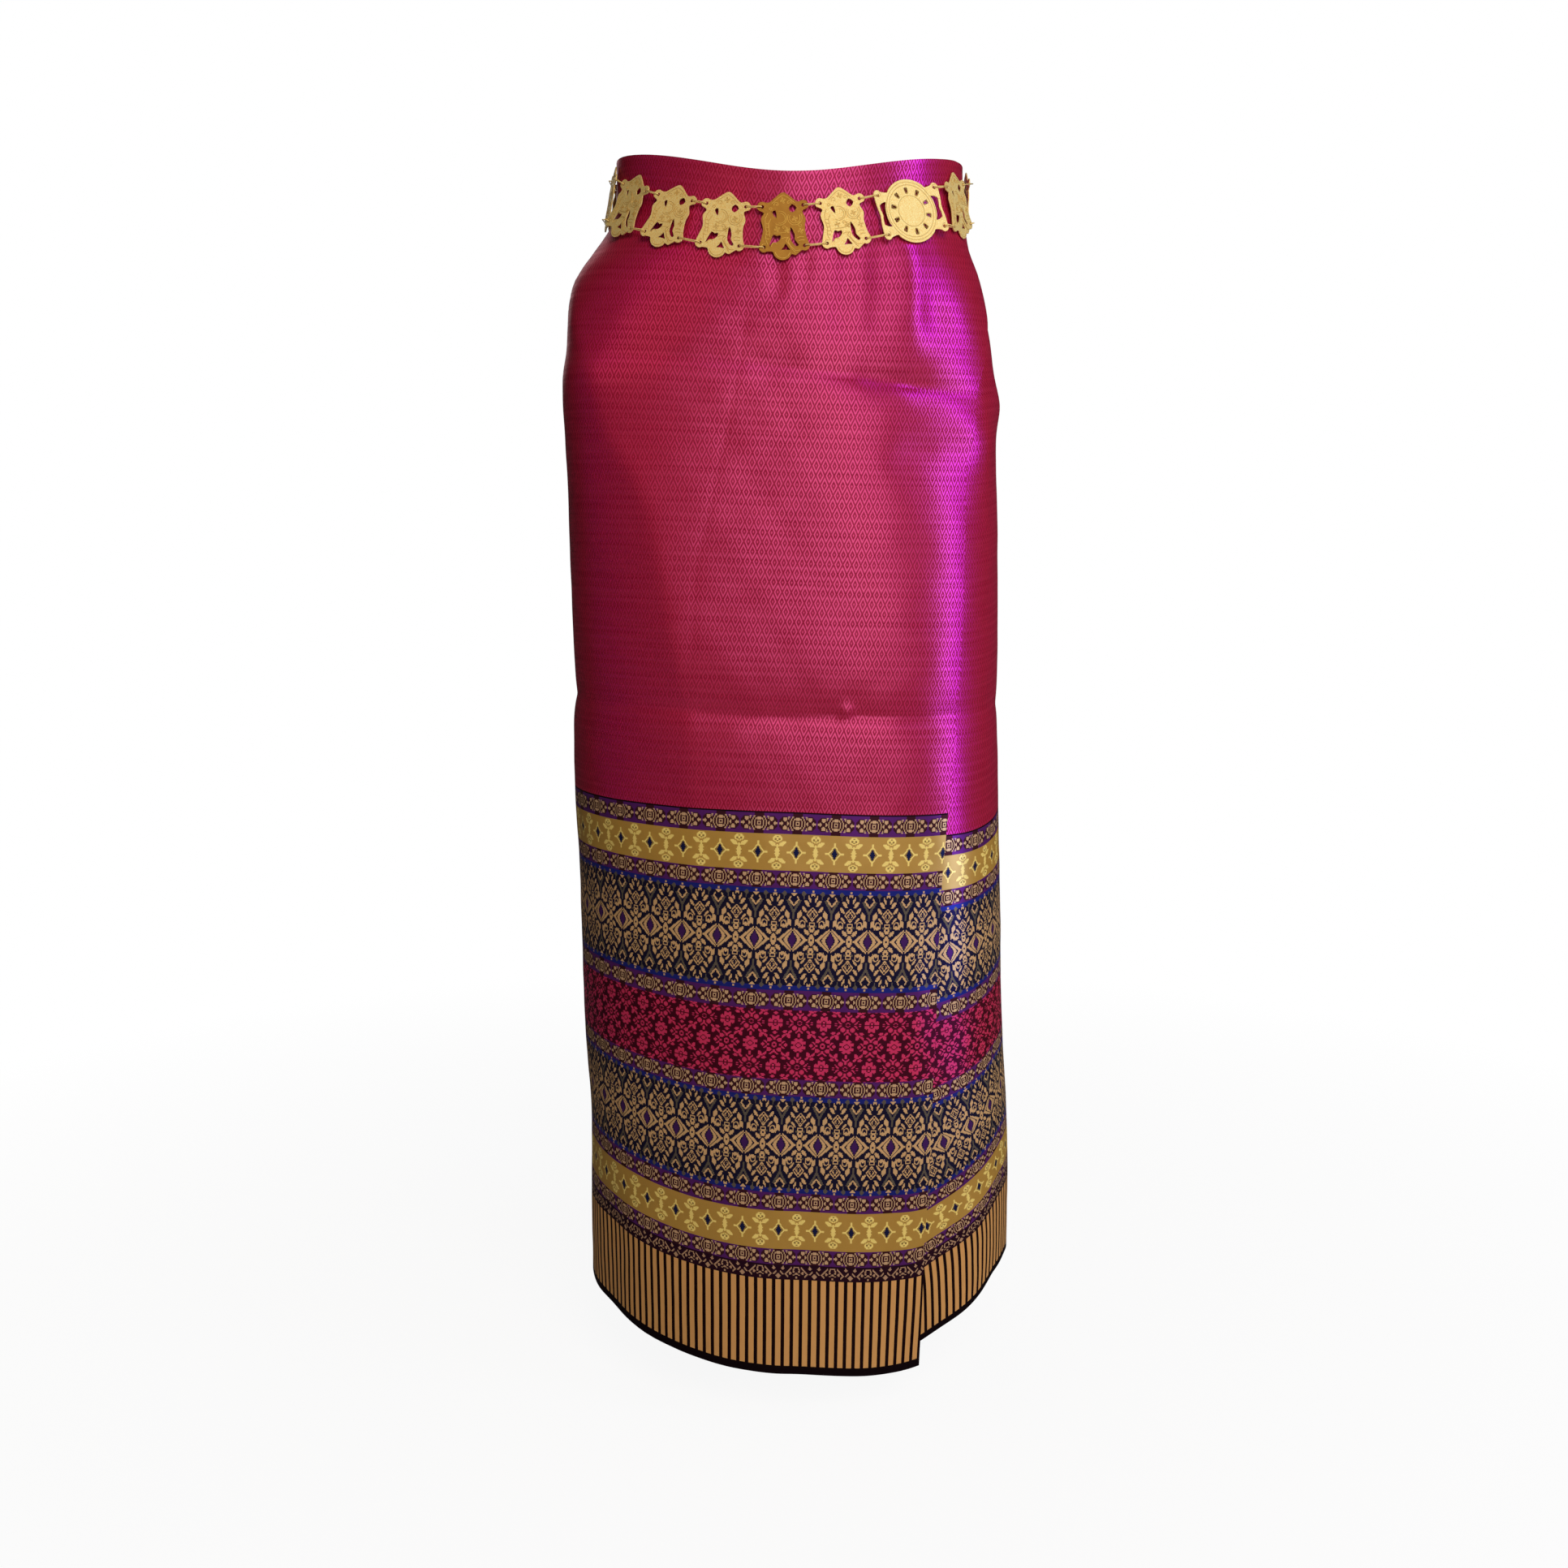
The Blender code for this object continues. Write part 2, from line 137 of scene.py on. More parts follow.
# The wrapped cloth: lengths in metres, directions in degrees round the body from the front, to the right
skirt = {
    "silkThickness": 0.0007,
    "layerStep": 0.0027,  # from the under layer out to the outer one
    "stepFromDeg": -60,
    "stepToDeg": -200,
    "rows": 172,
    "columns": 276,
    "closeRows": [(-0.391, 0.025, 1.8), (-0.12, 0.05, 1.0)],  # z, reach, how much closer they lie
    "closeColumns": [(0.0, 0.31, 1.6), (0.74, 0.06, 1.0)],  # share of the length, reach, how much closer
    "flatSize": (1.39, 0.96),
    "backFullness": 2.2,
    "leftSideDeg": -90,  # the sides, as the cloth winds from its free edge round the back
    "rightSideDeg": -270,
    "underFullDeg": -310,  # where the under layer has its own drop in full
    "underEndDeg": -410,
    "tiltFullDeg": -288,
    "tiltMiddleDeg": -308,
    "tiltSpanDeg": 12,
    "tiltLimits": (-1.6, 1.1),
    "fadeShare": 0.3,  # of a fold's length, at each end
    "sections": [  # z, left, right, front, back, corner at the front's right and left
        (0.07, 0.14, 0.142, 0.0985, 0.104, 2.05, 2.05),
        (0.03, 0.1405, 0.1425, 0.1, 0.1055, 2.05, 2.05),
        (0.005, 0.143, 0.144, 0.102, 0.109, 2.05, 2.05),
        (-0.01, 0.1515, 0.1455, 0.104, 0.113, 2.1, 2.05),
        (-0.021, 0.16, 0.1475, 0.1055, 0.1165, 2.15, 2.05),
        (-0.042, 0.1735, 0.156, 0.1085, 0.123, 2.2, 2.4),
        (-0.063, 0.177, 0.16, 0.112, 0.129, 2.3, 2.8),
        (-0.1, 0.1765, 0.1665, 0.118, 0.139, 2.45, 3.5),
        (-0.13, 0.1806, 0.1712, 0.1225, 0.144, 2.55, 3.8),
        (-0.18, 0.18, 0.1742, 0.128, 0.148, 2.65, 3.6),
        (-0.25, 0.18, 0.177, 0.134, 0.149, 2.7, 3.2),
        (-0.35, 0.18, 0.179, 0.14, 0.1465, 2.7, 2.8),
        (-0.45, 0.1822, 0.1806, 0.1435, 0.144, 2.7, 2.4),
        (-0.55, 0.1797, 0.1842, 0.146, 0.1435, 2.7, 2.1),
        (-0.67, 0.178, 0.188, 0.15, 0.145, 2.7, 2.05),
        (-0.76, 0.1734, 0.194, 0.1535, 0.1475, 2.7, 2.05),
        (-0.85, 0.1745, 0.197, 0.1565, 0.1505, 2.35, 2.05),
        (-0.95, 0.174, 0.1975, 0.159, 0.153, 2.0, 2.0),
    ],
    "levels": [  # z at the left side, drops: front, edge, right, under; free edge's direction, sag, tilt
        (0.052, 0.026, 0.004, 0.002, 0.004, 97, 0.0, 0.0),
        (0.0, 0.022, 0.006, 0.005, 0.01, 88, 0.0, 0.0),
        (-0.06, 0.01, 0.009, 0.01, 0.018, 75, 0.0, 0.0),
        (-0.12, 0.005, 0.012, 0.014, 0.026, 64, 0.0, 0.0),
        (-0.19, 0.003, 0.011, 0.015, 0.027, 57, 0.0, 0.0),
        (-0.28, 0.001, 0.01, 0.015, 0.027, 53, 0.0, 0.0),
        (-0.39, 0.0, 0.01, 0.015, 0.029, 50, 0.002, -0.001),
        (-0.47, 0.001, 0.008, 0.013, 0.029, 46, 0.003, 0.0),
        (-0.625, 0.007, 0.007, 0.005, 0.02, 42, 0.005, 0.005),
        (-0.78, 0.018, 0.006, -0.007, 0.005, 38.3, 0.009, 0.012),
        (-0.905, 0.023, 0.006, -0.021, -0.0125, 38.6, 0.013, 0.0105),
    ],
    "warp": [  # z at the left side, direction of the rings' middle thread there
        (0.052, 21.8), (-0.008, 18.6), (-0.112, 13.2), (-0.24, 9.4), (-0.366, 6.1), (-0.418, 4.2),
        (-0.47, 2.9), (-0.561, 1.2), (-0.609, 0.1), (-0.675, -1.4), (-0.763, -2.7), (-0.869, -3.0),
        (-0.905, -3.1),
    ],
    "weftScale": (1.0253, -0.0829),  # the pattern's scale at the hem and its change per metre up
    "folds": [  # from deg, z; to deg, z; half width in degrees; depth
        (-5, -0.01, -4, -0.085, 3.5, -0.0009),
        (9, -0.012, 5, -0.08, 3.0, -0.0007),
        (26, -0.012, 17, -0.11, 4.0, -0.0014),
        (36, -0.008, 31, -0.115, 4.5, -0.0012),
        (47, -0.004, 44, -0.12, 5.0, 0.002),
        (84, -0.01, 82, -0.15, 8, -0.0035),
        (34.5, -0.48, 35.5, -0.96, 5, 0.0022),
        (54, -0.78, 55, -1.0, 8, 0.0035),
        (-60, -0.79, -62, -1.0, 8, -0.003),
        (128, -0.17, 134, -1.0, 12, -0.0055),
        (156, -0.22, 160, -1.0, 11, 0.004),
        (-162, -0.12, -170, -1.0, 12, -0.006),
        (-128, -0.2, -122, -1.0, 12, 0.0035),
        (172, 0.04, 176, -0.1, 8, -0.0025),
        (-140, 0.04, -146, -0.09, 8, -0.0025),
    ],
    "ridges": [  # depth, reach to the left and right in degrees; z, direction and strength along it
        (0.0085, 16, 11, [
            (-0.04, -76.0, 0.0), (-0.083, -66.0, 0.7), (-0.13, -55.0, 1.0), (-0.183, -48.0, 1.0),
            (-0.213, -42.3, 1.0), (-0.244, -38.7, 1.0), (-0.284, -36.0, 0.9), (-0.343, -32.5, 0.8),
            (-0.393, -30.0, 0.5), (-0.442, -28.5, 0.4), (-0.5, -28.0, 0.3), (-0.6, -28.0, 0.15),
            (-0.75, -28.0, 0.0),
        ]),
        (-0.00018, 1.2, 1.2, [
            (-0.03, -14.2, 0.0), (-0.096, -16.0, 0.7), (-0.157, -19.0, 1.0), (-0.203, -22.2, 1.0),
            (-0.242, -24.6, 1.0), (-0.279, -27.2, 1.0), (-0.343, -28.2, 1.0), (-0.386, -29.2, 1.0),
            (-0.4, -29.4, 0.0),
        ]),
    ],
    "creases": [  # depth, reach up and down in metres; direction, z and strength along it
        (-0.0047, 0.024, 0.011, [
            (112, -0.392, 0.0), (90, -0.393, 0.4), (64, -0.395, 0.5), (53, -0.397, 1.0), (40, -0.399, 1.0),
            (18, -0.396, 1.0), (0, -0.397, 1.0), (-19, -0.394, 1.0), (-29, -0.391, 0.9), (-40, -0.388, 0.4),
            (-62, -0.386, 0.4), (-82, -0.385, 0.7), (-110, -0.385, 0.0),
        ]),
        (-0.003, 0.014, 0.009, [
            (75, -0.142, 0.0), (58, -0.141, 0.8), (46, -0.138, 1.2), (32, -0.134, 1.2), (8, -0.128, 0.8),
            (-12, -0.122, 0.7), (-34, -0.118, 0.6), (-60, -0.112, 0.5), (-74, -0.11, 0.0),
        ]),
        (-0.0056, 0.032, 0.017, [
            (66, -0.143, 0.0), (58, -0.141, 0.5), (50, -0.139, 0.9), (44, -0.137, 1.1), (38, -0.135, 1.0),
            (30, -0.133, 0.8), (21, -0.131, 0.3), (10, -0.129, 0.0),
        ]),
        (-0.0078, 0.034, 0.06, [
            (66, -0.184, 0.0), (56, -0.186, 0.8), (48, -0.187, 1.0), (40, -0.189, 0.9), (30, -0.19, 0.4),
            (18, -0.192, 0.0),
        ]),
    ],
    "dents": [  # direction, z, half width in degrees, half height, depth
        (92, -0.146, 20, 0.017, 0.0042),
        (64, -0.176, 9, 0.018, 0.004),
        (18, -0.392, 2.0, 0.006, 0.002),
        (40, -0.56, 9, 0.06, -0.0018),
        (76, -0.085, 13, 0.06, 0.0066),
        (52, -0.088, 8, 0.024, -0.003),
    ],
    "ripples": [  # depth, waves round the body, radians per metre up, start
        (0.00012, 11, 56.52, 0.3), (0.00009, 17, -87.92, 1.7),
        (0.00006, 29, 131.88, 0.9), (0.00005, -23, 207.24, 4.1),
    ],
}
left, right, front, back, corner, leftCorner = range(1, 7)
frontDrop, edgeDrop, rightDrop, underDrop, edgeDeg, sag, tilt = range(1, 8)
warpDeg = 1


def smooth(x):
    x = np.clip(x, 0, 1)
    return x * x * (3 - 2 * x)


def readTable(rows, column, z):  # a column of a table at height z, on a smooth curve through its rows
    z = np.asarray(z, float)
    zs = np.array([r[0] for r in rows])
    ys = np.array([r[column] for r in rows])
    last = len(rows) - 1
    i = np.clip(np.searchsorted(-zs, -z, side="left") - 1, 0, last - 1)
    before, after = np.maximum(i - 1, 0), np.minimum(i + 2, last)
    step = zs[i + 1] - zs[i]
    t = np.clip((z - zs[i]) / step, 0, 1)
    slopeIn = (ys[i + 1] - ys[before]) / (zs[i + 1] - zs[before]) * step
    slopeOut = (ys[after] - ys[i]) / (zs[after] - zs[i]) * step
    return eased(t, ys[i], ys[i + 1], slopeIn, slopeOut)


def turned(deg):
    return (deg + 180) % 360 - 180


def ringRadius(deg, z):
    s, c = np.sin(np.radians(deg)), np.cos(np.radians(deg))
    rows = skirt["sections"]
    across = np.where(s > 0, readTable(rows, right, z), readTable(rows, left, z))
    along = np.where(c > 0, readTable(rows, front, z), readTable(rows, back, z))
    frontFull = np.where(s > 0, readTable(rows, corner, z), readTable(rows, leftCorner, z))
    full = np.where(c > 0, frontFull, skirt["backFullness"])
    return (np.abs(s / across) ** full + np.abs(c / along) ** full) ** (-1 / full)


def hang(deg, z):  # how far the level thread at z has dropped where the cloth has wound to deg
    drops = {k: readTable(skirt["levels"], k, z) for k in range(frontDrop, tilt + 1)}
    leftSide, rightSide = skirt["leftSideDeg"], skirt["rightSideDeg"]
    level = drops[frontDrop] * np.maximum(0, np.cos(np.radians(deg))) ** 2
    toEdge = drops[edgeDrop] * smooth((deg - leftSide) / (drops[edgeDeg] - leftSide))
    toEdge += drops[sag] * smooth(deg / drops[edgeDeg])
    toRight = drops[rightDrop] * smooth((deg - leftSide) / (rightSide - leftSide))
    inUnder = smooth((deg - rightSide) / (skirt["underFullDeg"] - rightSide))
    under = drops[rightDrop] + (drops[underDrop] - drops[rightDrop]) * inUnder
    tilted = np.clip((deg - skirt["tiltMiddleDeg"]) / skirt["tiltSpanDeg"], *skirt["tiltLimits"])
    under -= drops[tilt] * smooth((deg - rightSide) / (skirt["tiltFullDeg"] - rightSide)) * tilted
    return level + np.where(deg > leftSide, toEdge, np.where(deg > rightSide, toRight, under))


def foldDepth(deg, z):
    deg, z = turned(deg + 0 * z), z + 0 * deg
    out = 0 * z
    for topDeg, topZ, footDeg, footZ, halfDeg, depth in skirt["folds"]:
        along = (topZ - z) / (topZ - footZ)
        middle = topDeg + (footDeg - topDeg) * along
        ends = smooth(along / skirt["fadeShare"]) * smooth((1 - along) / skirt["fadeShare"])
        out += depth * ends * np.exp(-((turned(deg - middle) / halfDeg) ** 2))
    for depth, before, after, path in skirt["ridges"]:
        away = turned(deg - readTable(path, 1, z))
        out += depth * readTable(path, 2, z) * crest(away / np.where(away < 0, before, after))
    for depth, up, down, path in skirt["creases"]:
        away = z - readTable(path, 1, deg)
        out += depth * readTable(path, 2, deg) * crest(away / np.where(away > 0, up, down))
    for middleDeg, middleZ, halfDeg, halfHeight, depth in skirt["dents"]:
        off = (turned(deg - middleDeg) / halfDeg) ** 2 + ((z - middleZ) / halfHeight) ** 2
        out += depth * np.exp(-off)
    for depth, waves, up, start in skirt["ripples"]:
        out += depth * np.sin(np.radians(deg) * waves + z * up + start)
    return out


def crest(away):  # a sharp line that fades on both sides
    return np.exp(0.1 - np.sqrt(away**2 + 0.01))


def layer(deg):
    start, end = skirt["stepFromDeg"], skirt["stepToDeg"]
    return skirt["layerStep"] * (1 - smooth((deg - start) / (end - start)))


def outside(deg, z):  # the radius of the outermost cloth
    deg = turned(deg)
    wound = np.where(deg < readTable(skirt["levels"], edgeDeg, z), deg, deg - 360)
    return ringRadius(deg, z) + foldDepth(deg, z) + layer(wound)


def place(deg, radius, z):
    turn = np.radians(deg)
    return np.stack([radius * np.sin(turn), -radius * np.cos(turn), z + 0 * radius], -1)


def spread(start, end, count, weight):  # count places from start to end, closer where weight is high
    fine = np.linspace(start, end, 4000)
    total = np.concatenate([[0], np.cumsum(weight(0.5 * (fine[1:] + fine[:-1])))])
    return np.interp(np.linspace(0, total[-1], count), total, fine)


def frontHeight(sideZ):
    return sideZ - hang(0.0, sideZ)


def clothGrid():
    levels = skirt["levels"]
    top, foot = levels[0][0], levels[-1][0]

    def rowWeight(z):
        weight = 1
        for at, reach, more in skirt["closeRows"]:
            weight += more * np.exp(-(((z - at) / reach) ** 2))
        return weight

    def columnWeight(share):
        weight = 0.5
        for at, reach, more in skirt["closeColumns"]:
            weight += more * (np.abs(share - at) < reach)
        return weight

    side = spread(top, foot, skirt["rows"], rowWeight)[:, None]
    share = spread(0, 1, skirt["columns"], columnWeight)[None, :]
    edge = readTable(levels, edgeDeg, side)
    deg = edge + (skirt["underEndDeg"] - edge) * share
    z = side - hang(deg, side)
    radius = ringRadius(deg, z) + foldDepth(deg, z) + layer(deg)
    outer = place(deg, radius, z)
    inner = place(deg, radius - skirt["silkThickness"], z)
    steps = np.linalg.norm(np.diff(outer, axis=1), axis=2)
    fromEdge = np.concatenate([np.zeros((len(side), 1)), np.cumsum(steps, 1)], 1)
    middle = readTable(skirt["warp"], warpDeg, side[:, 0])
    atMiddle = np.array([np.interp(-m, -d, f) for m, d, f in zip(middle, deg, fromEdge)])[:, None]
    up = frontHeight(side) - frontHeight(foot) + 0 * fromEdge
    scale, growth = skirt["weftScale"]
    across = (atMiddle - fromEdge) * (scale + growth * up)
    return outer, inner, np.stack([across, up], -1)


def shellMesh(name, outer, inner, weaveSpots, material):  # a thin closed sheet between two faces
    high, wide = outer.shape[:2]
    count = high * wide
    grid = np.arange(count).reshape(high, wide)
    a, b, d, e = grid[:-1, :-1], grid[:-1, 1:], grid[1:, :-1], grid[1:, 1:]
    out = np.stack([a, b, e, d], -1).reshape(-1, 4)
    back = np.stack([d, e, b, a], -1).reshape(-1, 4) + count
    rims = []
    for line in (grid[0, ::-1], grid[:, 0], grid[-1], grid[::-1, -1]):
        rims.append(np.stack([line[:-1], line[1:], line[1:] + count, line[:-1] + count], -1))
    faces = np.concatenate([out, back, *rims])
    points = np.concatenate([outer.reshape(-1, 3), inner.reshape(-1, 3)])
    mesh = bpy.data.meshes.new(name)
    mesh.from_pydata(points.tolist(), [], faces.tolist())
    spots = np.tile(weaveSpots.reshape(-1, 2), (2, 1))[faces.reshape(-1)]
    mesh.uv_layers.new(name="weave").data.foreach_set("uv", spots.astype(np.float32).ravel())
    mesh.materials.append(material)
    mesh.shade_smooth()
    mesh.set_sharp_from_angle(angle=math.radians(50))
    return newObject(name, mesh)


# The woven pattern: motifs in millimetres from the middle of their repeat, painted in order
weave = {
    "pitch": 30.0,
    "columns": 20,  # threads drawn in half a repeat
    "pick": 0.8,  # height of one drawn row
    "slots": 4,  # places for threads in a palette
    "bodyFrom": 462.8,
    "bodyPitch": (6.85, 15.1),
    "bodyThreads": ("#7A0420", "#C82850"),  # behind the small diamonds and on them
    "slubThread": "#CC3858",
    "bodyGloss": ("#FF74B8", "#E02EE0", "#D02848"),  # seen from the front, aslant and at the rim
    "slubs": [(0.03, 1.3), (0.008, 0.33)],  # of each noise: waves per millimetre along and up
}


def lozenge(x, y):  # whether it covers a point at these shares of its half width and half height
    return np.abs(x) + np.abs(y) < 1


def oval(x, y):
    return x**2 + y**2 < 1


def leaf(x, y):  # pointed at both ends
    return np.abs(y) < 1 - x**2


def bar(x, y):
    return np.maximum(np.abs(x), np.abs(y)) < 1


def bigFlower(x, y, way):  # four petals, and a chevron and a bud on each side
    parts = [
        (lozenge, 1, 0, 0, 2.6, 2.9), (lozenge, 0, 0, 0, 1.4, 1.5), (oval, 1, 4.1, 4.0, 2.0, 1.9),
        (bar, 1, 6.8, 1.8, 2.1, 0.55, 48), (oval, 1, 4.6, 0, 1.1, 0.8),
        (lozenge, 1, 9.6, 0, 2.0, 1.5), (bar, 1, 1.6, 6.7, 2.1, 0.55, 42),
        (oval, 1, 0, 4.6, 0.9, 0.9), (lozenge, 1, 0, 10.0, 1.6, 2.2),
    ]
    return [(shape, thread, x + way * px, y + way * py, *rest) for shape, thread, px, py, *rest in parts]


def smallFlower(x, y):  # eight bumps round a ring
    bumps = [
        (oval, 1, x + px, y + py, 1.5, 1.4)
        for wide, high in ((4.5, 1.9), (1.9, 4.4)) for px in (-wide, wide) for py in (-high, high)
    ]
    middle = [
        (oval, 1, x, y, 4.2, 4.0), (lozenge, 0, x, y, 3.1, 3.1),
        (lozenge, 1, x, y, 2.1, 2.1), (oval, 0, x, y, 0.6, 0.6),
    ]
    return bumps + middle


motifs = {  # shape, thread, x, y, half width, half height, and its turn if it has one
    "blank": {"height": 0.8, "shapes": []},
    "stripes": {"height": 0.8, "shapes": [
        (bar, 1, 0, 0, 2.25, 9), (bar, 1, 7.5, 0, 2.25, 9), (bar, 1, 15, 0, 2.25, 9),
    ]},
    "rosette": {"height": 8.8, "shapes": [
        (oval, 2, 0, 0, 7.4, 6.6), (oval, 2, 9.9, 0, 4.7, 5.7), (oval, 1, 9.8, 3.5, 1.6, 1.6),
        (oval, 1, 12.5, 0, 1.6, 1.3), (oval, 1, 7.6, 0, 0.8, 1.3), (bar, 1, 7.0, 4.4, 0.5, 1.2, 20),
        (oval, 1, 0, 0, 6.1, 7.2), (oval, 2, 0, 0, 5.3, 6.7), (bar, 2, 0, 7.4, 3.6, 1.7),
        (oval, 1, 0, 0, 4.0, 5.2), (oval, 2, 0, 0, 3.2, 4.8), (bar, 2, 0, 5.2, 2.2, 1.0),
        (oval, 1, 0, 3.7, 1.9, 1.3), (oval, 1, 0, 0, 1.9, 1.9), (oval, 2, 0, 0, 1.0, 1.1),
    ]},
    "gold": {"height": 16.8, "shapes": [
        (lozenge, 1, 0, 0, 5.4, 6.9), (bar, 1, 0, 7.8, 0.38, 1.4), (lozenge, 1, 5.9, 0, 2.2, 1.0),
        (lozenge, 2, 0, 0, 3.8, 5.2), (lozenge, 3, 0, 0, 2.3, 4.5), (oval, 1, 15, 1.4, 1.9, 2.7),
        (lozenge, 1, 15, 4.8, 1.3, 2.6), (leaf, 1, 11.2, 6.6, 3.5, 1.6, 145),
        (oval, 1, 15, 10.9, 3.6, 2.7), (oval, 2, 13.4, 10.6, 0.8, 0.8), (oval, 2, 15, 12.2, 0.8, 0.6),
        (oval, 2, 15, 8.9, 0.8, 0.5),
    ]},
    "lattice": {"height": 41.6, "fromJoint": True, "shapes": [
        (lozenge, 2, 15, 31.8, 5.9, 11.5), (lozenge, 0, 15, 32.6, 4.3, 8.6),
        (bar, 0, 15, 37.0, 6.2, 5.2), (oval, 2, 7.4, 37.2, 1.9, 1.9), (bar, 2, 7.4, 34.4, 0.45, 1.6),
        (bar, 2, 15, 19.8, 0.9, 2.8), (lozenge, 1, 15, 32.5, 4.5, 6.2),
        (lozenge, 0, 15, 33.0, 3.3, 4.4), (bar, 0, 15, 37.6, 4.6, 2.6),
        (lozenge, 1, 15, 37.9, 2.8, 3.3), (bar, 0, 15, 39.8, 3.2, 1.8),
        (oval, 1, 15, 39.4, 0.75, 0.8), (oval, 1, 0, 38.9, 0.8, 0.8), (oval, 1, 0, 36.2, 1.8, 1.6),
        (bar, 0, 0, 35.2, 0.7, 0.9), (leaf, 1, 2.6, 32.9, 3.3, 0.9, 69),
        (leaf, 1, 4.6, 29.6, 3.4, 1.35, 53), (leaf, 1, 6.6, 24.9, 3.2, 1.3, 58),
        (leaf, 1, 10.3, 20.2, 3.7, 1.9, 103), (leaf, 1, 12.0, 14.4, 3.1, 1.7, 111),
        (leaf, 1, 5.8, 17.2, 3.4, 0.8, 52), (lozenge, 1, 0, 21.0, 4.8, 6.2),
        (lozenge, 0, 0, 21.0, 3.7, 4.8), (lozenge, 1, 0, 20.8, 2.7, 3.4),
        (lozenge, 0, 0, 20.4, 1.5, 2.2), (oval, 2, 0, 17.2, 0.9, 0.8), (oval, 1, 0, 12.6, 2.5, 2.2),
        (oval, 0, 0, 11.7, 1.7, 2.2), (oval, 2, 3.1, 11.0, 0.8, 0.8), (oval, 1, 0, 9.3, 2.1, 3.1),
        (oval, 0, 0, 9.6, 0.9, 1.3), (oval, 1, 7.6, 12.8, 2.6, 3.1), (oval, 0, 7.5, 13.0, 1.5, 2.0),
        (oval, 1, 7.4, 11.6, 0.7, 1.4), (bar, 1, 10.3, 11.2, 0.45, 1.9, -20),
        (lozenge, 1, 15, 0, 12.2, 10.6), (lozenge, 0, 15, 9.8, 1.2, 1.4),
        (lozenge, 0, 15, 0, 9.0, 9.4), (lozenge, 1, 15, 0, 7.4, 8.6), (lozenge, 0, 15, 0, 4.3, 7.6),
        (lozenge, 3, 15, 0, 3.0, 6.2), (bar, 0, 3.8, 5.6, 1.6, 3.4, -41),
        (leaf, 1, 3.8, 6.2, 3.2, 1.6, 49), (oval, 0, 0, 0, 3.0, 5.8), (oval, 1, 0, 0, 2.1, 4.9),
        (oval, 0, 0, 0, 0.9, 1.3),
    ]},
    "flowers": {"height": 18.0, "pitch": 38.8, "shapes": [
        *bigFlower(0, 0, 1), *bigFlower(19.4, 18.0, -1), *smallFlower(0, 18.0), *smallFlower(19.4, 0),
        (oval, 1, 7.9, 10.9, 1.6, 1.5), (oval, 1, 11.5, 7.1, 1.6, 1.5), (oval, 1, 9.7, 9.0, 0.9, 0.8),
        (leaf, 1, 7.2, 7.4, 2.4, 0.9, 40), (leaf, 1, 12.2, 10.6, 2.4, 0.9, 40),
    ]},
    "scallop": {"height": 12.8, "fromJoint": True, "shapes": [
        (oval, 1, 0, 7.4, 3.1, 3.3), (oval, 0, 0, 7.6, 1.9, 2.0), (bar, 0, 0, 3.8, 2.0, 1.6),
        (bar, 1, 1.3, 4.2, 1.7, 0.5, -40), (oval, 1, 0, 1.8, 1.0, 1.0),
        (lozenge, 1, 5.2, 5.0, 1.3, 1.8), (bar, 1, 6.6, 7.0, 4.0, 0.5, -48),
        (bar, 1, 7.9, 3.0, 1.7, 0.5, 50), (lozenge, 1, 15, 3.0, 2.1, 2.2),
        (bar, 1, 12.2, 5.4, 2.0, 0.55, 50), (lozenge, 1, 11.2, 9.3, 1.6, 1.9),
    ]},
}
bands = [  # from this height up: motif, its middle or foot, palette, and any shift along the band
    (0.0, "blank", 0, "selvedge"),
    (7.0, "stripes", 0, "stripes"),
    (80.5, "scallop", 80.9, "scallop"),
    (93.0, "rosette", 99.5, "violet"),
    (106.0, "gold", 122.0, "gold"),
    (138.0, "rosette", 145.5, "violet"),
    (153.0, "lattice", 193.0, "blueEdge"),
    (157.0, "lattice", 193.0, "navy"),
    (229.0, "lattice", 193.0, "blueEdge"),
    (233.0, "rosette", 240.0, "violet"),
    (246.8, "flowers", 275.1, "flowers", 9.4),
    (303.5, "rosette", 311.5, "violet"),
    (319.5, "lattice", 360.7, "blueEdge"),
    (323.5, "lattice", 360.7, "navy"),
    (398.0, "lattice", 360.7, "blueEdge"),
    (402.0, "rosette", 409.0, "violet"),
    (416.0, "gold", 430.6, "gold"),
    (445.2, "rosette", 453.6, "violet"),
    (461.6, "blank", 0, "selvedge"),
]
latticeThreads = [
    ("#CEA46E", "#FFEAD4", 0.26), ("#585048", "#A89888", 0.25), ("#3C1C50", "#8040D0", 0.2),
]
threads = {  # each palette's ground and threads: colour, colour of its gloss, share of gloss
    "selvedge": [("#100608", "#40184A", 0.1)],
    "stripes": [("#160608", "#401020", 0.1), ("#E0A45E", "#FFDCA8", 0.32)],
    "scallop": [("#220A14", "#58206A", 0.14), ("#B89070", "#FFD8B0", 0.3)],
    "violet": [("#50205E", "#9040C8", 0.26), ("#C8A078", "#FFE4C0", 0.28), ("#34141C", "#703050", 0.16)],
    "gold": [
        ("#B68A38", "#FFE4A8", 0.3), ("#FFE27A", "#FFF6C0", 0.34), ("#8E703E", "#E0C070", 0.25),
        ("#141838", "#3048B0", 0.15),
    ],
    "navy": [("#141222", "#4038A8", 0.16), *latticeThreads],
    "blueEdge": [("#1C2270", "#3850E8", 0.28), *latticeThreads],
    "flowers": [("#3C0810", "#A02890", 0.16), ("#D83850", "#FF50E0", 0.34)],
}
paletteRows = list(threads)


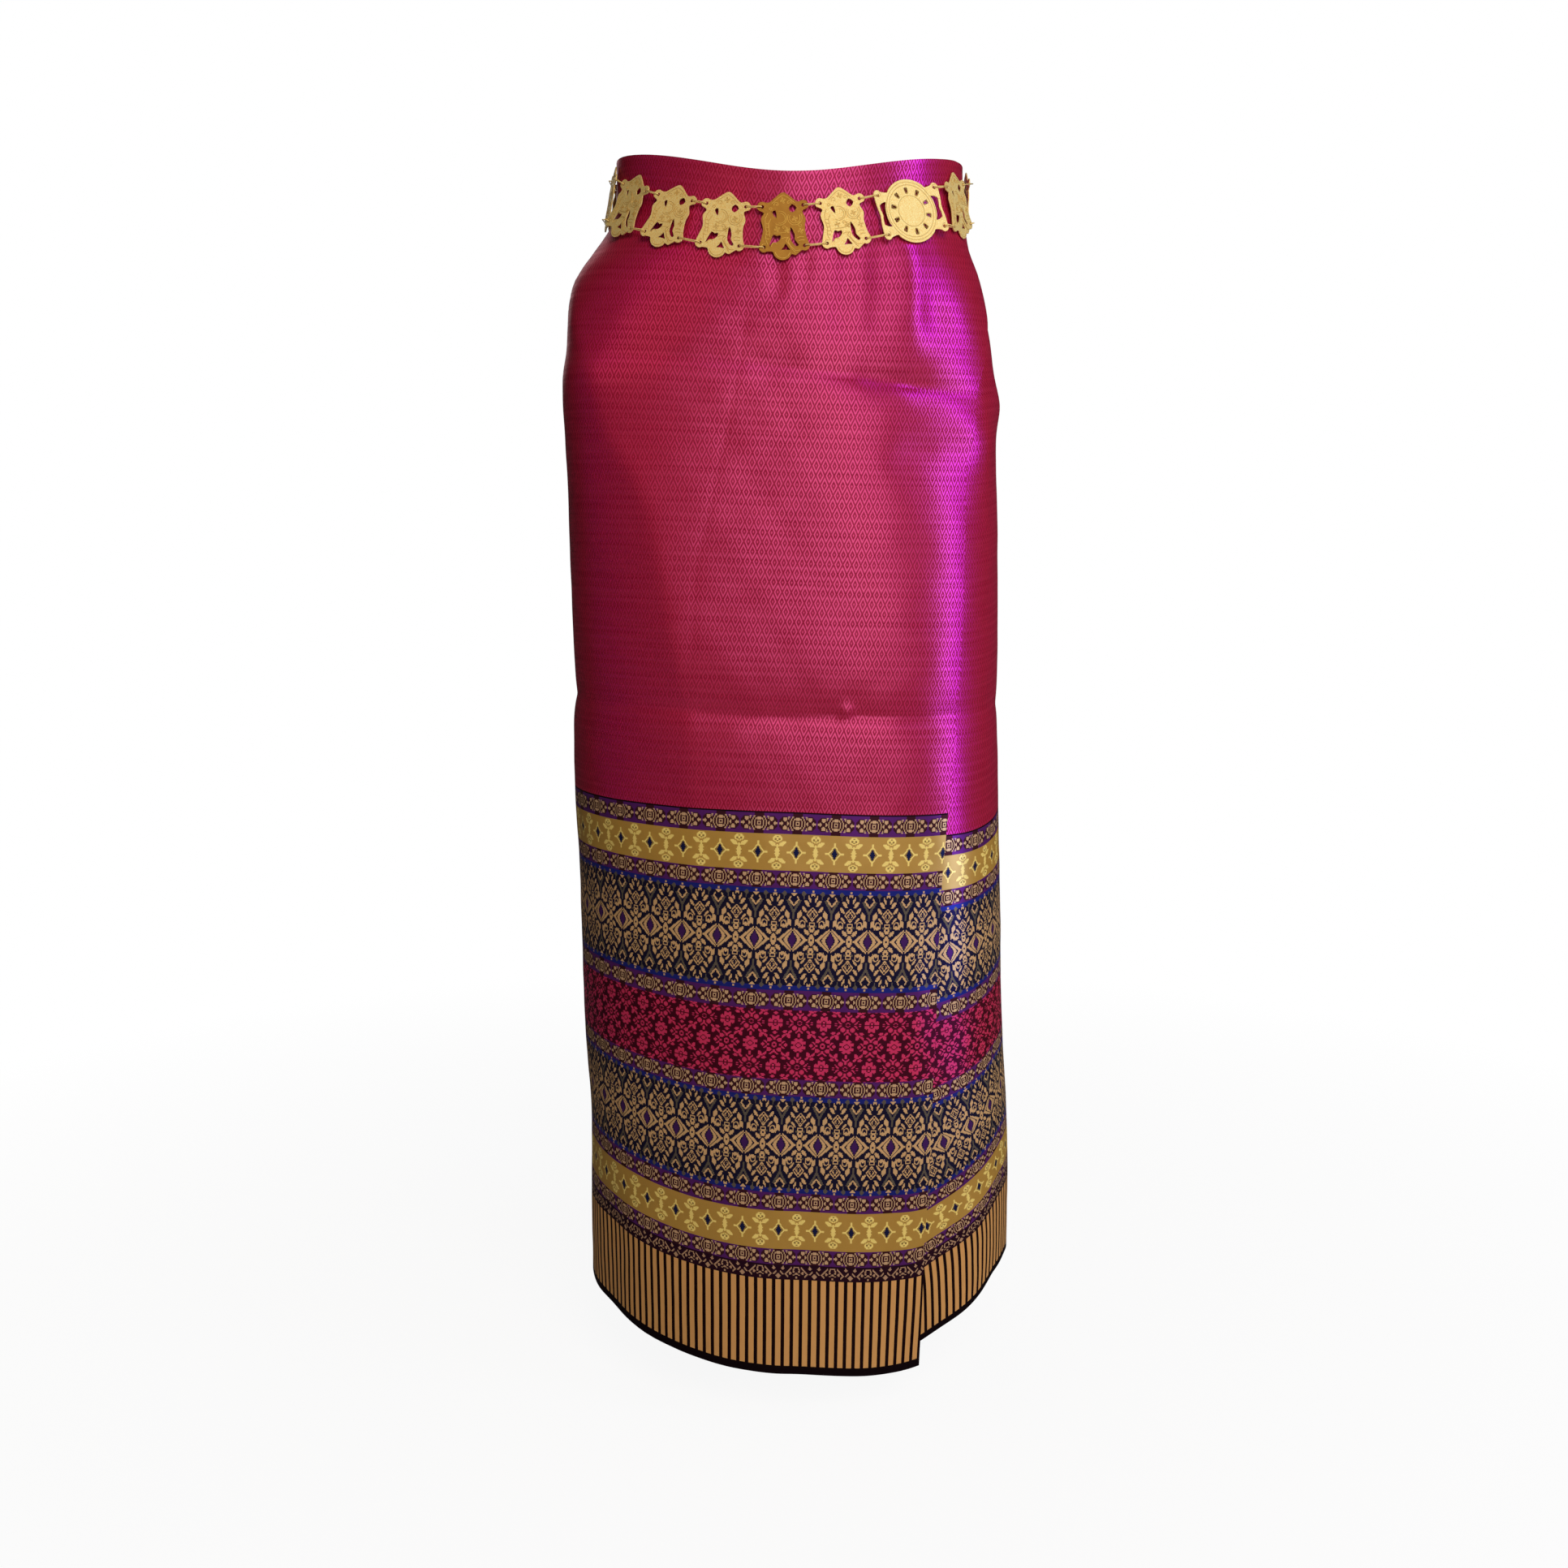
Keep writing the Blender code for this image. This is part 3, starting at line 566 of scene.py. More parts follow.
def drawMotif(motif):  # a quarter of the repeat, as rows of thread numbers
    half = motif.get("pitch", weave["pitch"]) / 2
    rows = round(motif["height"] / weave["pick"])
    x = ((np.arange(weave["columns"]) + 0.5) * half / weave["columns"])[None, :]
    y = ((np.arange(rows) + 0.5) * weave["pick"])[:, None]
    if motif.get("fromJoint"):
        x = half - x
    drawn = np.zeros((rows, weave["columns"]), int)
    for shape, thread, atX, atY, halfWide, halfHigh, *turn in motif["shapes"]:
        angle = math.radians(sum(turn))
        c, s = math.cos(angle), math.sin(angle)
        dx, dy = x - atX, y - atY
        drawn[shape((dx * c + dy * s) / halfWide, (dy * c - dx * s) / halfHigh)] = thread
    return drawn


def drawCharts():  # every motif's rows, one after another, and each motif's first row
    charts, firstRow, count = [], {}, 0
    for name, motif in motifs.items():
        charts.append(drawMotif(motif))
        firstRow[name] = count
        count += len(charts[-1])
    print("pattern rows:", count)
    return np.concatenate(charts), firstRow


def bandNumbers(start, up, firstRow):  # the numbers of the band at a height, as a sum of steps
    def row(band):
        name, base, palette, *shift = band[1:]
        motif = motifs[name]
        limit = motif["height"] / weave["pick"]
        half = motif.get("pitch", weave["pitch"]) / 2
        return Vector((base, firstRow[name], limit)), Vector((half, sum(shift), paletteRows.index(palette)))

    values = [row(band) for band in bands]
    numbers = [start.add("CombineXYZ", dict(enumerate(v))) for v in values[0]]
    for band, before, after in zip(bands[1:], values, values[1:]):
        above = up > band[0]
        for k in range(2):
            sockets = {0: above, 1: tuple(after[k] - before[k]), 2: numbers[k]}
            numbers[k] = start.add("VectorMath", sockets, {"operation": "MULTIPLY_ADD"})
    first, second = [start.add("SeparateXYZ", {0: number}) for number in numbers]
    return first, first.of("Y"), first.of("Z"), second, second.of("Y"), second.of("Z")


def chartThread(start, drawn, column, address):  # the thread number there, from two planes of bits
    rowsPerRamp, scale = 32, 2 ** weave["columns"]
    bits = 2 ** np.arange(weave["columns"])
    found = None
    for k in range(math.ceil(len(drawn) / rowsPerRamp)):
        stops = []
        for i, line in enumerate(drawn[k * rowsPerRamp:(k + 1) * rowsPerRamp]):
            planes = [float(((line >> p & 1) * bits).sum()) / scale for p in (0, 1)]
            stops.append((i / rowsPerRamp, (*planes, 0.0, 1.0)))
        ramp = start.add("ValToRGB", {0: address / rowsPerRamp - k}, {"stops": stops})
        found = ramp if found is None else start.mixed(address > k * rowsPerRamp, found, ramp)
    planes = start.add("SeparateColor", {0: found})
    shiftBy = start.math("POWER", 2.0, column)

    def bit(plane):
        return start.math("FLOOR", (plane * scale + 0.5) / shiftBy) % 2.0

    return bit(planes) + bit(planes.of("Green")) * 2


def borderThreads(start, across, up):  # the number of the thread that shows, its colour and its gloss
    drawn, firstRow = drawCharts()
    base, chartStart, limit, half, shift, palette = bandNumbers(start, up, firstRow)
    folded = start.math("PINGPONG", across + shift, half) / half
    column = start.math("FLOOR", folded * weave["columns"])
    height = (up - base) / weave["pick"]
    turnsAt = limit * 0.9999  # just short of the motif's end, to stay on its last row
    pick = start.math("FLOOR", start.math("PINGPONG", height, turnsAt))
    thread = chartThread(start, drawn, column, chartStart + pick + 0.5)

    places = weave["slots"] * len(paletteRows)
    address = (palette * weave["slots"] + thread + 0.5) / places
    colours, glosses = [], []
    for i, name in enumerate(paletteRows):
        for k, (colour, gloss, share) in enumerate(threads[name], i * weave["slots"]):
            colours.append((k / places, linear(colour)))
            glosses.append((k / places, linear(gloss, share)))
    ramps = [start.add("ValToRGB", {0: address}, {"stops": s}) for s in (colours, glosses)]
    return thread, *ramps


def bodyThreads(start, across, up):  # small diamonds and slubs: tone, colour, gloss and its share
    wide, high = weave["bodyPitch"]
    figure = start.math("PINGPONG", across / wide, 0.5) + start.math("PINGPONG", up / high, 0.5)
    diamond = start.math("COSINE", figure * (6 * math.pi)) * 0.5 + 0.5
    diamond = start.math("POWER", diamond, 1.5)
    streaks = []
    for along, over in weave["slubs"]:
        at = start.add("CombineXYZ", {0: across * along, 1: up * over})
        sockets = {"Vector": at, "Detail": 1.5, "Scale": 1.0}
        streaks.append(start.add("TexNoise", sockets, {"noise_dimensions": "2D"}))
    slub = ((streaks[0] + streaks[1]) * 0.5 - 0.36) * 3.6
    slub = start.math("MINIMUM", start.math("MAXIMUM", slub, 0.0), 1.0)
    colour = start.mixed(diamond, *[linear(c) for c in weave["bodyThreads"]])
    colour = start.mixed(slub * 0.22, colour, linear(weave["slubThread"]))
    facing = start.add("LayerWeight", {"Blend": 0.5}, out=1)  # the crossing yarns show by turns
    front, aslant, rim = [linear(c) for c in weave["bodyGloss"]]
    gloss = start.mixed(facing * 6.0 - 2.2, start.mixed(facing * 4.2 - 0.1, front, aslant), rim)
    return diamond * 0.75 + slub * 0.25, colour, gloss, diamond * 0.5 + slub * 0.05 + 0.02


def silkMaterial():
    made, start = newMaterial("wovenSilk")
    spot = start.add("SeparateXYZ", {0: start.add("UVMap", {}, {"uv_map": "weave"})})
    across, up = spot * 1000, spot.of("Y") * 1000
    thread, colour, gloss = borderThreads(start, across, up)
    tone, bodyColour, bodyGloss, bodyShare = bodyThreads(start, across, up)
    border = up < weave["bodyFrom"]
    share = bodyShare + border * (gloss.of("Alpha") - bodyShare)
    relief = start.math("MINIMUM", thread, 1.0) * border + tone * (1 - border) * 0.5
    bump = start.add("Bump", {"Strength": 0.25, "Distance": 0.0002, "Height": relief})
    matte = start.add("BsdfPrincipled", {
        "Base Color": start.mixed(border, bodyColour, colour), "Roughness": 0.6, "Specular IOR Level": 0.08,
        "Sheen Weight": 0.03, "Sheen Roughness": 0.3, "Sheen Tint": linear("#FFC0C8"), "Normal": bump,
    })
    glossy = start.add("BsdfPrincipled", {
        "Base Color": start.mixed(border, bodyGloss, gloss), "Roughness": 0.28, "Metallic": 1.0,
        "Normal": bump,
    })
    start.finish(start.add("MixShader", {0: share, 1: matte, 2: glossy}))
    return made


def makeCloth():
    outer, inner, weaveSpots = clothGrid()
    cloth = shellMesh("wrapCloth", outer, inner, weaveSpots, silkMaterial())
    print("cloth:", len(cloth.data.polygons) * 2, "triangles")
    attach(cloth, list(frame["bodies"])[0])
    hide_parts("wrap_cloth")


# The chain belt: lengths in millimetres on a plate, metres and degrees round the waist
belt = {
    "plateCount": 16,
    "thickness": 0.9,
    "halfHeight": 26.0,
    "backZ": 0.02,
    "lowZ": -0.0195,
    "lowDeg": -10,
    "leftRise": 0.056,
    "rightRise": 0.034,
    "buckleDeg": 49.0,
    "buckleSpan": 0.071,
    "plateEye": (15.7, 15.5),
    "buckleEye": (27.5, 15.5),
    "eyeRadius": 1.3,
    "lobeRadius": 4.0,
    "wireRadius": 0.45,
    "wireGap": 0.3,
    "linkBend": 0.9,
    "linkDepth": 2.1,
    "clear": 0.0004,
    "chordDeg": 9,
    "probes": 4,
    "discRadius": 25.0,
    "slots": 10,
    "slot": (14.0, 18.5, 1.2, 1.6),
    "wingX": 31.0,
    "earDeg": 42,
    "edgeRound": 0.14,
    "lineRadius": 0.27,
    "polishedPlate": 15,
    "paleGoldWithPaintedGlintAndShade": ("#F2BC48", "#FFF6B4", "#C08C30"),  # the grain's colour and its painted glints, and the raised lines' painted shade
    # the polished plate: darker colours as a painted dark reflection, with a cloudy lighter tone, and a
    # painted highlight on its raised lines
    "amberGoldPaintedReflection": ("#A06C1C", "#C8923A", "#F4CC60"),
}


def arc(x, y, r, startDeg, endDeg, steps):
    turns = [math.radians(startDeg + (endDeg - startDeg) * k / steps) for k in range(steps + 1)]
    return [(x + r * math.cos(t), y + r * math.sin(t)) for t in turns]


def eyeHoles(eyeX, eyeY):
    return [arc(x, y, belt["eyeRadius"], 0, 330, 11) for x in (-eyeX, eyeX) for y in (-eyeY, eyeY)]


def plateOutline():  # an elephant in profile over a scrolled foot, with an eye at each corner
    (eyeX, eyeY), lobe = belt["plateEye"], belt["lobeRadius"]
    return (
        arc(-eyeX, -eyeY, lobe, 160, 300, 6)
        + [(-9.3, -19.2)]
        + arc(-1.4, -18.5, 7.5, 205, 335, 8)
        + [(8.3, -22.6), (10.8, -21.0)]
        + arc(eyeX, -eyeY, lobe, 240, 385, 6)
        + [(17.5, -9.0), (16.4, -1.0), (17.3, 5.0), (15.0, 11.0)]
        + arc(eyeX, eyeY, lobe, -35, 125, 6)
        + [(10.5, 18.8), (5.0, 23.5), (0.5, 26.0), (-4.5, 23.0), (-9.8, 18.9)]
        + arc(-eyeX, eyeY, lobe, 55, 215, 6)
        + [(-14.9, 10.6), (-17.2, 6.0), (-15.8, -1.5), (-17.4, -8.0)]
    )


def plateHoles():
    return [
        [(-11.6, -15.4), (-9.9, -9.8), (-7.9, -6.2), (-5.4, -7.4), (-2.8, -6.8), (-2.6, -9.2)]
        + [(-5.4, -12.0), (-9.0, -12.6)],
        [(1.1, -13.4), (2.8, -16.2), (4.2, -18.4), (0.9, -18.0), (-2.3, -18.1), (-0.4, -16.0)],
        [(5.5, -0.8), (8.4, -7.0), (8.3, -10.8), (11.2, -14.8), (9.1, -15.8), (5.6, -11.8), (5.0, -7.4)],
        [(-8.4, 11.0), (-5.2, 6.4), (-5.6, 12.2)],
        [(7.4, 10.2), (4.6, 13.2), (7.2, 16.6), (10.6, 13.6)],
        *eyeHoles(*belt["plateEye"]),
    ]


def spiral(x, y, r, startDeg, turnDeg, steps=14):
    out = []
    for k in range(steps):
        turn, reach = math.radians(startDeg + turnDeg * k / steps), r * (1 - k / steps)
        out.append((x + reach * math.cos(turn), y + reach * math.sin(turn)))
    return out


def plateLines():  # raised lines: trunk, ear, eye, saddle cloth with florets, anklets, toes and scrolls
    lines = [
        [(-11.6, 10.5), (-13.8, 6.5), (-14.2, 1.5), (-13.4, -4.0), (-14.2, -9.0), (-12.9, -13.5)],
        [(-9.4, 6.2), (-11.4, 2.5), (-11.2, -3.5), (-10.8, -7.6)],
        *[[(-13.6, 3.0 - 2.9 * k), (-12.4, 2.2 - 2.9 * k), (-11.4, 2.6 - 2.9 * k)] for k in range(5)],
        arc(-2.6, 6.2, 5.4, 100, -130, 12),
        arc(-2.2, 6.0, 3.8, 85, -110, 9),
        arc(-9.3, 13.6, 1.0, 0, 360, 8),
        arc(9.0, 6.0, 5.6, 150, 395, 12),
        arc(9.0, 6.0, 4.1, 150, 395, 10),
    ]
    for x, y in ((9.0, 5.2), (3.0, -3.2), (-5.0, -2.0), (0.4, 19.6), (13.2, -4.2)):
        lines.append(arc(x, y, 0.7, 0, 360, 7))
        petals = [(x + 1.6 * math.cos(t), y + 1.6 * math.sin(t)) for t in (0.3, 1.9, 3.4, 5.0)]
        lines += [arc(px, py, 0.6, 0, 360, 6) for px, py in petals]
    return lines + [
        [(4.6, -9.5), (3.1, -12.2), (5.4, -16.0), (8.6, -19.2), (12.0, -19.0)],
        [(3.4, -8.4), (1.6, -11.2), (3.9, -14.6), (6.4, -18.4), (8.6, -21.0)],
        [(-1.8, -9.6), (0.6, -8.8), (3.6, -9.2)],
        [(10.2, -9.4), (12.6, -8.6), (15.4, -9.0)],
        [(11.2, -11.8), (13.2, -11.2), (15.8, -11.4)],
        arc(-1.4, -18.6, 5.9, 190, 345, 10),
        arc(-7.6, -14.6, 2.2, 200, 20, 7),
        [(-7.6, -5.0), (-2.4, -5.2), (1.8, -4.8), (4.0, -2.4)],
        [(-8.4, 17.4), (-3.6, 21.4), (0.5, 23.8), (4.6, 21.6), (9.2, 17.6)],
        spiral(-4.6, 16.8, 2.2, 200, -420),
        spiral(4.8, 17.8, 2.0, -20, 420),
        spiral(13.2, 0.4, 2.2, 100, 420),
        spiral(0.2, -1.2, 1.7, 0, 400),
        spiral(-15.6, -15.5, 2.9, 60, 260),
    ]


def buckleOutline():
    (eyeX, eyeY), lobe, wing = belt["buckleEye"], belt["lobeRadius"], belt["wingX"]
    side = (
        arc(eyeX, -eyeY, lobe, 215, 385, 6)
        + [(wing, -eyeY / 2), (wing - 1, 0.0), (wing, eyeY / 2)]
        + arc(eyeX, eyeY, lobe, -25, 145, 6)
    )
    half = side + arc(0, 0, belt["discRadius"], belt["earDeg"], 180 - belt["earDeg"], 16)
    return half + [(-x, -y) for x, y in half]


def aroundDisc(points, startTurn):  # the same loop once for each slot
    turns = [startTurn + 2 * math.pi * k / belt["slots"] for k in range(belt["slots"])]
    return [[tuple(Matrix.Rotation(turn, 2) @ Vector(p)) for p in points] for turn in turns]


def buckleHoles():
    near, far, nearHalf, farHalf = belt["slot"]
    corners = [
        (near, -nearHalf), (far - 0.8, -farHalf), (far, 0.4 - farHalf),
        (far, farHalf - 0.4), (far - 0.8, farHalf), (near, nearHalf),
    ]
    gap = arc(0, 0, belt["discRadius"] - 1, 24, -24, 7)
    gap += [(belt["wingX"] - 2.6, -7.5), (belt["wingX"] - 3.6, 0.0), (belt["wingX"] - 2.6, 7.5)]
    gaps = [gap, [(-x, -y) for x, y in gap]]
    return aroundDisc(corners, -math.pi / 2) + gaps + eyeHoles(*belt["buckleEye"])


def buckleLines():
    rings = [arc(0, 0, r, 0, 360, 48) for r in (22.9, 20.6, 12.2)]
    ray = [(13.4, 0), (15.6, 1.2), (18.6, 0), (15.6, -1.2), (13.4, 0)]
    rays = aroundDisc(ray, math.pi / belt["slots"])
    eyeX, eyeY = belt["buckleEye"]
    wings = [spiral(sign * eyeX, y, 2.9, 60, sign * 260) for sign in (-1, 1) for y in (-eyeY, eyeY)]
    return rings + rays + wings


def rounded(points, parts=3):  # a closed loop's points with a smooth curve run through them
    points, out = [Vector((x, y)) for x, y in points], []
    for i in range(len(points)):
        p = [points[(i + k) % len(points)] for k in (-1, 0, 1, 2)]
        for t in [n / parts for n in range(parts)]:
            out.append(tuple(eased(t, p[1], p[2], (p[2] - p[0]) / 2, (p[3] - p[1]) / 2)))
    return out


def curveObject(name, lines, closed=False, height=0.0, fill=False):
    curve = bpy.data.curves.new(name, "CURVE")
    curve.dimensions = "2D" if fill else "3D"
    curve.fill_mode = "BOTH" if fill else "FULL"
    if fill:
        curve.extrude = (belt["thickness"] / 2 - belt["edgeRound"]) / 1000
        curve.bevel_depth = belt["edgeRound"] / 1000
        curve.bevel_resolution = 1
        curve.offset = -belt["edgeRound"] / 1000
    for line in lines:
        spline = curve.splines.new("POLY")
        spline.points.add(len(line) - 1)
        for point, at in zip(spline.points, line):
            x, y, *z = at
            point.co = (x / 1000, y / 1000, (z[0] if z else height) / 1000, 1)
        spline.use_cyclic_u = closed
    return newObject(name, curve)


class Nodes(Wire):  # a geometry tree with a radius, a material and more inputs by name
    family = "GeometryNode"

    def __init__(self, name, more):
        tree = bpy.data.node_groups.new(name, "GeometryNodeTree")
        tree.interface.new_socket("Geometry", in_out="OUTPUT", socket_type="NodeSocketGeometry")
        inputs = {"Geometry": "Geometry", **more, "Radius": "Float", "Material": "Material"}
        for label, kind in inputs.items():
            tree.interface.new_socket(label, in_out="INPUT", socket_type=f"NodeSocket{kind}")
        super().__init__(tree)
        self.entry = Wire(tree, tree.nodes.new("NodeGroupInput").outputs[0])

    def given(self, label):
        return self.entry.of(label)

    def finish(self, geometry):
        done = self.add("RealizeInstances", {0: geometry})
        done = self.add("SetMaterial", {0: done, "Material": self.given("Material")})
        self.tree.links.new(done.socket, self.tree.nodes.new("NodeGroupOutput").inputs[0])


def grown(name, carrier, nodes, values):  # what a geometry tree makes of the carrier, as a plain mesh
    modifier = carrier.modifiers.new("nodes", "NODES")
    modifier.node_group = nodes.tree
    for item in nodes.tree.interface.items_tree:
        if item.in_out == "INPUT" and item.name in values:
            modifier[item.identifier] = values[item.name]
    bpy.context.view_layer.update()
    evaluated = carrier.evaluated_get(bpy.context.evaluated_depsgraph_get())
    mesh = bpy.data.meshes.new_from_object(evaluated)
    carrier.modifiers.clear()
    mesh.name = name
    return newObject(name, mesh)


def tube(nodes, curve, sides, caps=False):  # round each spline, with the given radius
    ring = nodes.add("CurvePrimitiveCircle", {"Resolution": sides, "Radius": nodes.given("Radius")})
    return nodes.add("CurveToMesh", {"Curve": curve, "Profile Curve": ring, "Fill Caps": caps})


def plateNodes():
    nodes = Nodes("plateRow", {"Plate": "Object", "Lines": "Object"})
    plate = nodes.add("ObjectInfo", {0: nodes.given("Plate")}, out="Geometry")
    lines = nodes.add("ObjectInfo", {0: nodes.given("Lines")}, out="Geometry")
    relief = tube(nodes, lines, 6, True)
    relief = nodes.add("StoreNamedAttribute", {0: relief, "Name": "raised", "Value": 1.0})
    both = nodes.add("JoinGeometry")
    for part in (plate, relief):
        nodes.tree.links.new(part.socket, both.socket.node.inputs[0])
    points = nodes.add("MeshToPoints", {0: nodes.given("Geometry")})
    turn = nodes.add("InputNamedAttribute", {"Name": "turn"}, {"data_type": "QUATERNION"})
    nodes.finish(nodes.add("InstanceOnPoints", {"Points": points, "Instance": both, "Rotation": turn}))
    return nodes


def wireNodes():
    nodes = Nodes("wireLinks", {})
    nodes.finish(tube(nodes, nodes.given("Geometry"), 8))
    return nodes


def beltLevel(deg):
    swing = turned(deg - belt["lowDeg"])
    rise = np.where(swing < 0, belt["leftRise"], belt["rightRise"])
    return np.minimum(belt["backZ"], belt["lowZ"] + rise * (1 - np.cos(np.radians(swing))))


def beltFrame(deg, halfWide, halfHigh, eye):  # flat along the belt, pushed out until it clears the cloth
    deg = float(deg)
    here = float(beltLevel(deg))
    ends = (deg - belt["chordDeg"], deg + belt["chordDeg"])
    before, after = (Vector(place(d, outside(d, here), beltLevel(d))) for d in ends)
    heights = (here + halfHigh / 1000, here - halfHigh / 1000)
    above, below = (Vector(place(deg, outside(deg, z), z)) for z in heights)
    along = (after - before).normalized()
    out = along.cross(above - below).normalized()
    up = out.cross(along)
    middle = Vector(place(deg, outside(deg, here), here))
    steps = [k / belt["probes"] for k in range(-belt["probes"], belt["probes"] + 1)]
    probes = [(x * halfWide, y * halfHigh, belt["thickness"] / 2) for x in steps for y in steps]
    probes += [(x, y, belt["linkDepth"]) for x in (-eye[0], eye[0]) for y in (-eye[1], eye[1])]
    push = 0.0
    for x, y, depth in probes:
        p = middle + (along * x + up * y - out * depth) / 1000
        short = float(outside(math.degrees(math.atan2(p.x, -p.y)), p.z)) - math.hypot(p.x, p.y)
        square = Vector((p.x, p.y, 0)).normalized().dot(out)
        push = max(push, (short + belt["clear"]) / square)
    return Matrix.Translation(middle + out * push) @ Matrix((along, up, out)).transposed().to_4x4()


def beltFrames():  # the buckle, then the plates round from it
    degs = belt["buckleDeg"] + np.arange(721) / 2
    levels = beltLevel(degs)
    points = place(degs, outside(degs, levels) + belt["clear"], levels)
    lengths = np.concatenate([[0], np.cumsum(np.linalg.norm(np.diff(points, axis=0), axis=1))])
    pitch = (lengths[-1] - belt["buckleSpan"]) / belt["plateCount"]
    eye = belt["buckleEye"]
    frames = [(beltFrame(degs[0], belt["wingX"], belt["discRadius"], eye), eye)]
    eye = belt["plateEye"]
    for k in range(belt["plateCount"]):
        at = belt["buckleSpan"] / 2 + pitch * (k + 0.5)
        deg = degs[np.searchsorted(lengths, at)]
        frames.append((beltFrame(deg, eye[0] + belt["lobeRadius"], belt["halfHeight"], eye), eye))
    return frames


def linkHook(eye, out, toward):  # the wire through one eye, from its back run to its front run
    flat = (toward - out * out.dot(toward)).normalized()
    rise = belt["lobeRadius"] * toward.dot(out) / toward.dot(flat)
    clear = belt["thickness"] / 2 + belt["wireRadius"] + belt["wireGap"]
    inset = belt["eyeRadius"] - belt["wireRadius"] - belt["wireGap"]
    bend = belt["linkBend"]
    steps = [
        (inset + bend, -clear - max(0.0, rise)),
        (inset + bend * 0.3, -clear * 0.88),
        (inset, -clear * 0.5),
        (inset, clear * 0.5),
        (inset + bend * 0.3, clear * 0.88),
        (inset + bend, clear - min(0.0, rise)),
    ]
    return [eye + (flat * along + out * off) / 1000 for along, off in steps]


def goldMaterial():
    made, start = newMaterial("frostedGold")
    spot = start.add("TexCoord", out=3)
    grain = start.add("TexNoise", {"Vector": spot, "Scale": 1400.0, "Detail": 3.0, "Roughness": 0.7})
    cloud = start.add("TexNoise", {"Vector": spot, "Scale": 90.0, "Detail": 2.0})
    polish = start.add("Attribute", {}, {"attribute_name": "polish"}, "Fac")
    raised = start.add("Attribute", {}, {"attribute_name": "raised"}, "Fac")
    # pale plates: a frosted grain whose near-white flecks are painted glints, and raised lines darkened as
    # painted shade
    deep, light, line = [linear(c) for c in belt["paleGoldWithPaintedGlintAndShade"]]
    pale = start.mixed(raised * 0.7, start.mixed(grain * 2.4 - 0.7, deep, light), line)
    # polished plate: darker amber as a painted dark reflection, and raised lines lighter as a painted
    # highlight
    deep, light, line = [linear(c) for c in belt["amberGoldPaintedReflection"]]
    amber = start.mixed(raised * 0.8, start.mixed(cloud, deep, light), line)
    bump = start.add("Bump", {"Strength": 0.8, "Distance": 0.0002, "Height": grain})
    start.finish(start.add("BsdfPrincipled", {
        "Base Color": start.mixed(polish, pale, amber), "Metallic": polish * 0.1 + 0.42,
        "Roughness": 0.42 + grain * 0.12 - polish * 0.16, "Normal": bump,
    }))
    return made


def makeBelt():
    gold = goldMaterial()
    frames = beltFrames()
    low = belt["thickness"] / 2 - belt["lineRadius"] * 0.25  # the raised lines are sunk in a little
    body = list(frame["bodies"])[0]

    shapes = {
        "beltPlates": (plateOutline(), plateHoles(), plateLines(), frames[1:]),
        "beltBuckle": (buckleOutline(), buckleHoles(), buckleLines(), frames[:1]),
    }
    nodes = plateNodes()
    for name, (outline, cuts, lines, places) in shapes.items():
        loops = [rounded(outline)] + [rounded(cut, 2) for cut in cuts]
        flat = curveObject(name + "Sheet", loops, True, fill=True)
        relief = curveObject(name + "Lines", lines, height=low)
        carrierMesh = bpy.data.meshes.new(name + "Places")
        carrierMesh.from_pydata([m.translation for m, eye in places], [], [])
        turn = carrierMesh.attributes.new("turn", "QUATERNION", "POINT")
        for k, (m, eye) in enumerate(places):
            turn.data[k].value = m.to_quaternion()
        # polish is 1 on the polished plate, which gets smoother metal and the darker amber colours of a
        # painted dark reflection
        polish = carrierMesh.attributes.new("polish", "FLOAT", "POINT")
        if name == "beltPlates":
            polish.data[belt["polishedPlate"] - 1].value = 1.0
        carrier = newObject(name + "Places", carrierMesh)
        made = grown(name, carrier, nodes, {
            "Plate": flat, "Lines": relief, "Radius": belt["lineRadius"] / 1000, "Material": gold,
        })
        made.data.shade_smooth()
        made.data.set_sharp_from_angle(angle=math.radians(35))
        for spare in (carrier, flat, relief):
            bpy.data.objects.remove(spare)
        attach(made, body)
        if name == "beltPlates":
            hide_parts(*[f"belt_plate_{k + 1:02d}" for k in range(belt["plateCount"])])
        else:
            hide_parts("belt_buckle")
        print(name + ":", len(made.data.polygons), "faces")
    makeLinks(frames, gold, body)


def makeLinks(frames, gold, body):
    loops = []
    for (m, eye), (nextM, nextEye) in zip(frames, frames[1:] + frames[:1]):
        outs = [Vector(w.col[2][:3]) for w in (m, nextM)]
        for sign in (1, -1):
            first = m @ (Vector((eye[0], sign * eye[1], 0)) / 1000)
            last = nextM @ (Vector((-nextEye[0], sign * nextEye[1], 0)) / 1000)
            toward = (last - first).normalized()
            loop = linkHook(first, outs[0], toward) + linkHook(last, outs[1], -toward)[::-1]
            loops.append([tuple(v * 1000) for v in loop])
    carrier = curveObject("linkLoops", loops, True)
    values = {"Radius": belt["wireRadius"] / 1000, "Material": gold}
    links = grown("beltLinks", carrier, wireNodes(), values)
    bpy.data.objects.remove(carrier)
    links.data.shade_smooth()
    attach(links, body)
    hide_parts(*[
        f"belt_link_{k + 1:02d}_{row}" for k in range(len(frames)) for row in ("upper", "lower")
    ])
    print("links:", len(links.data.polygons), "faces")


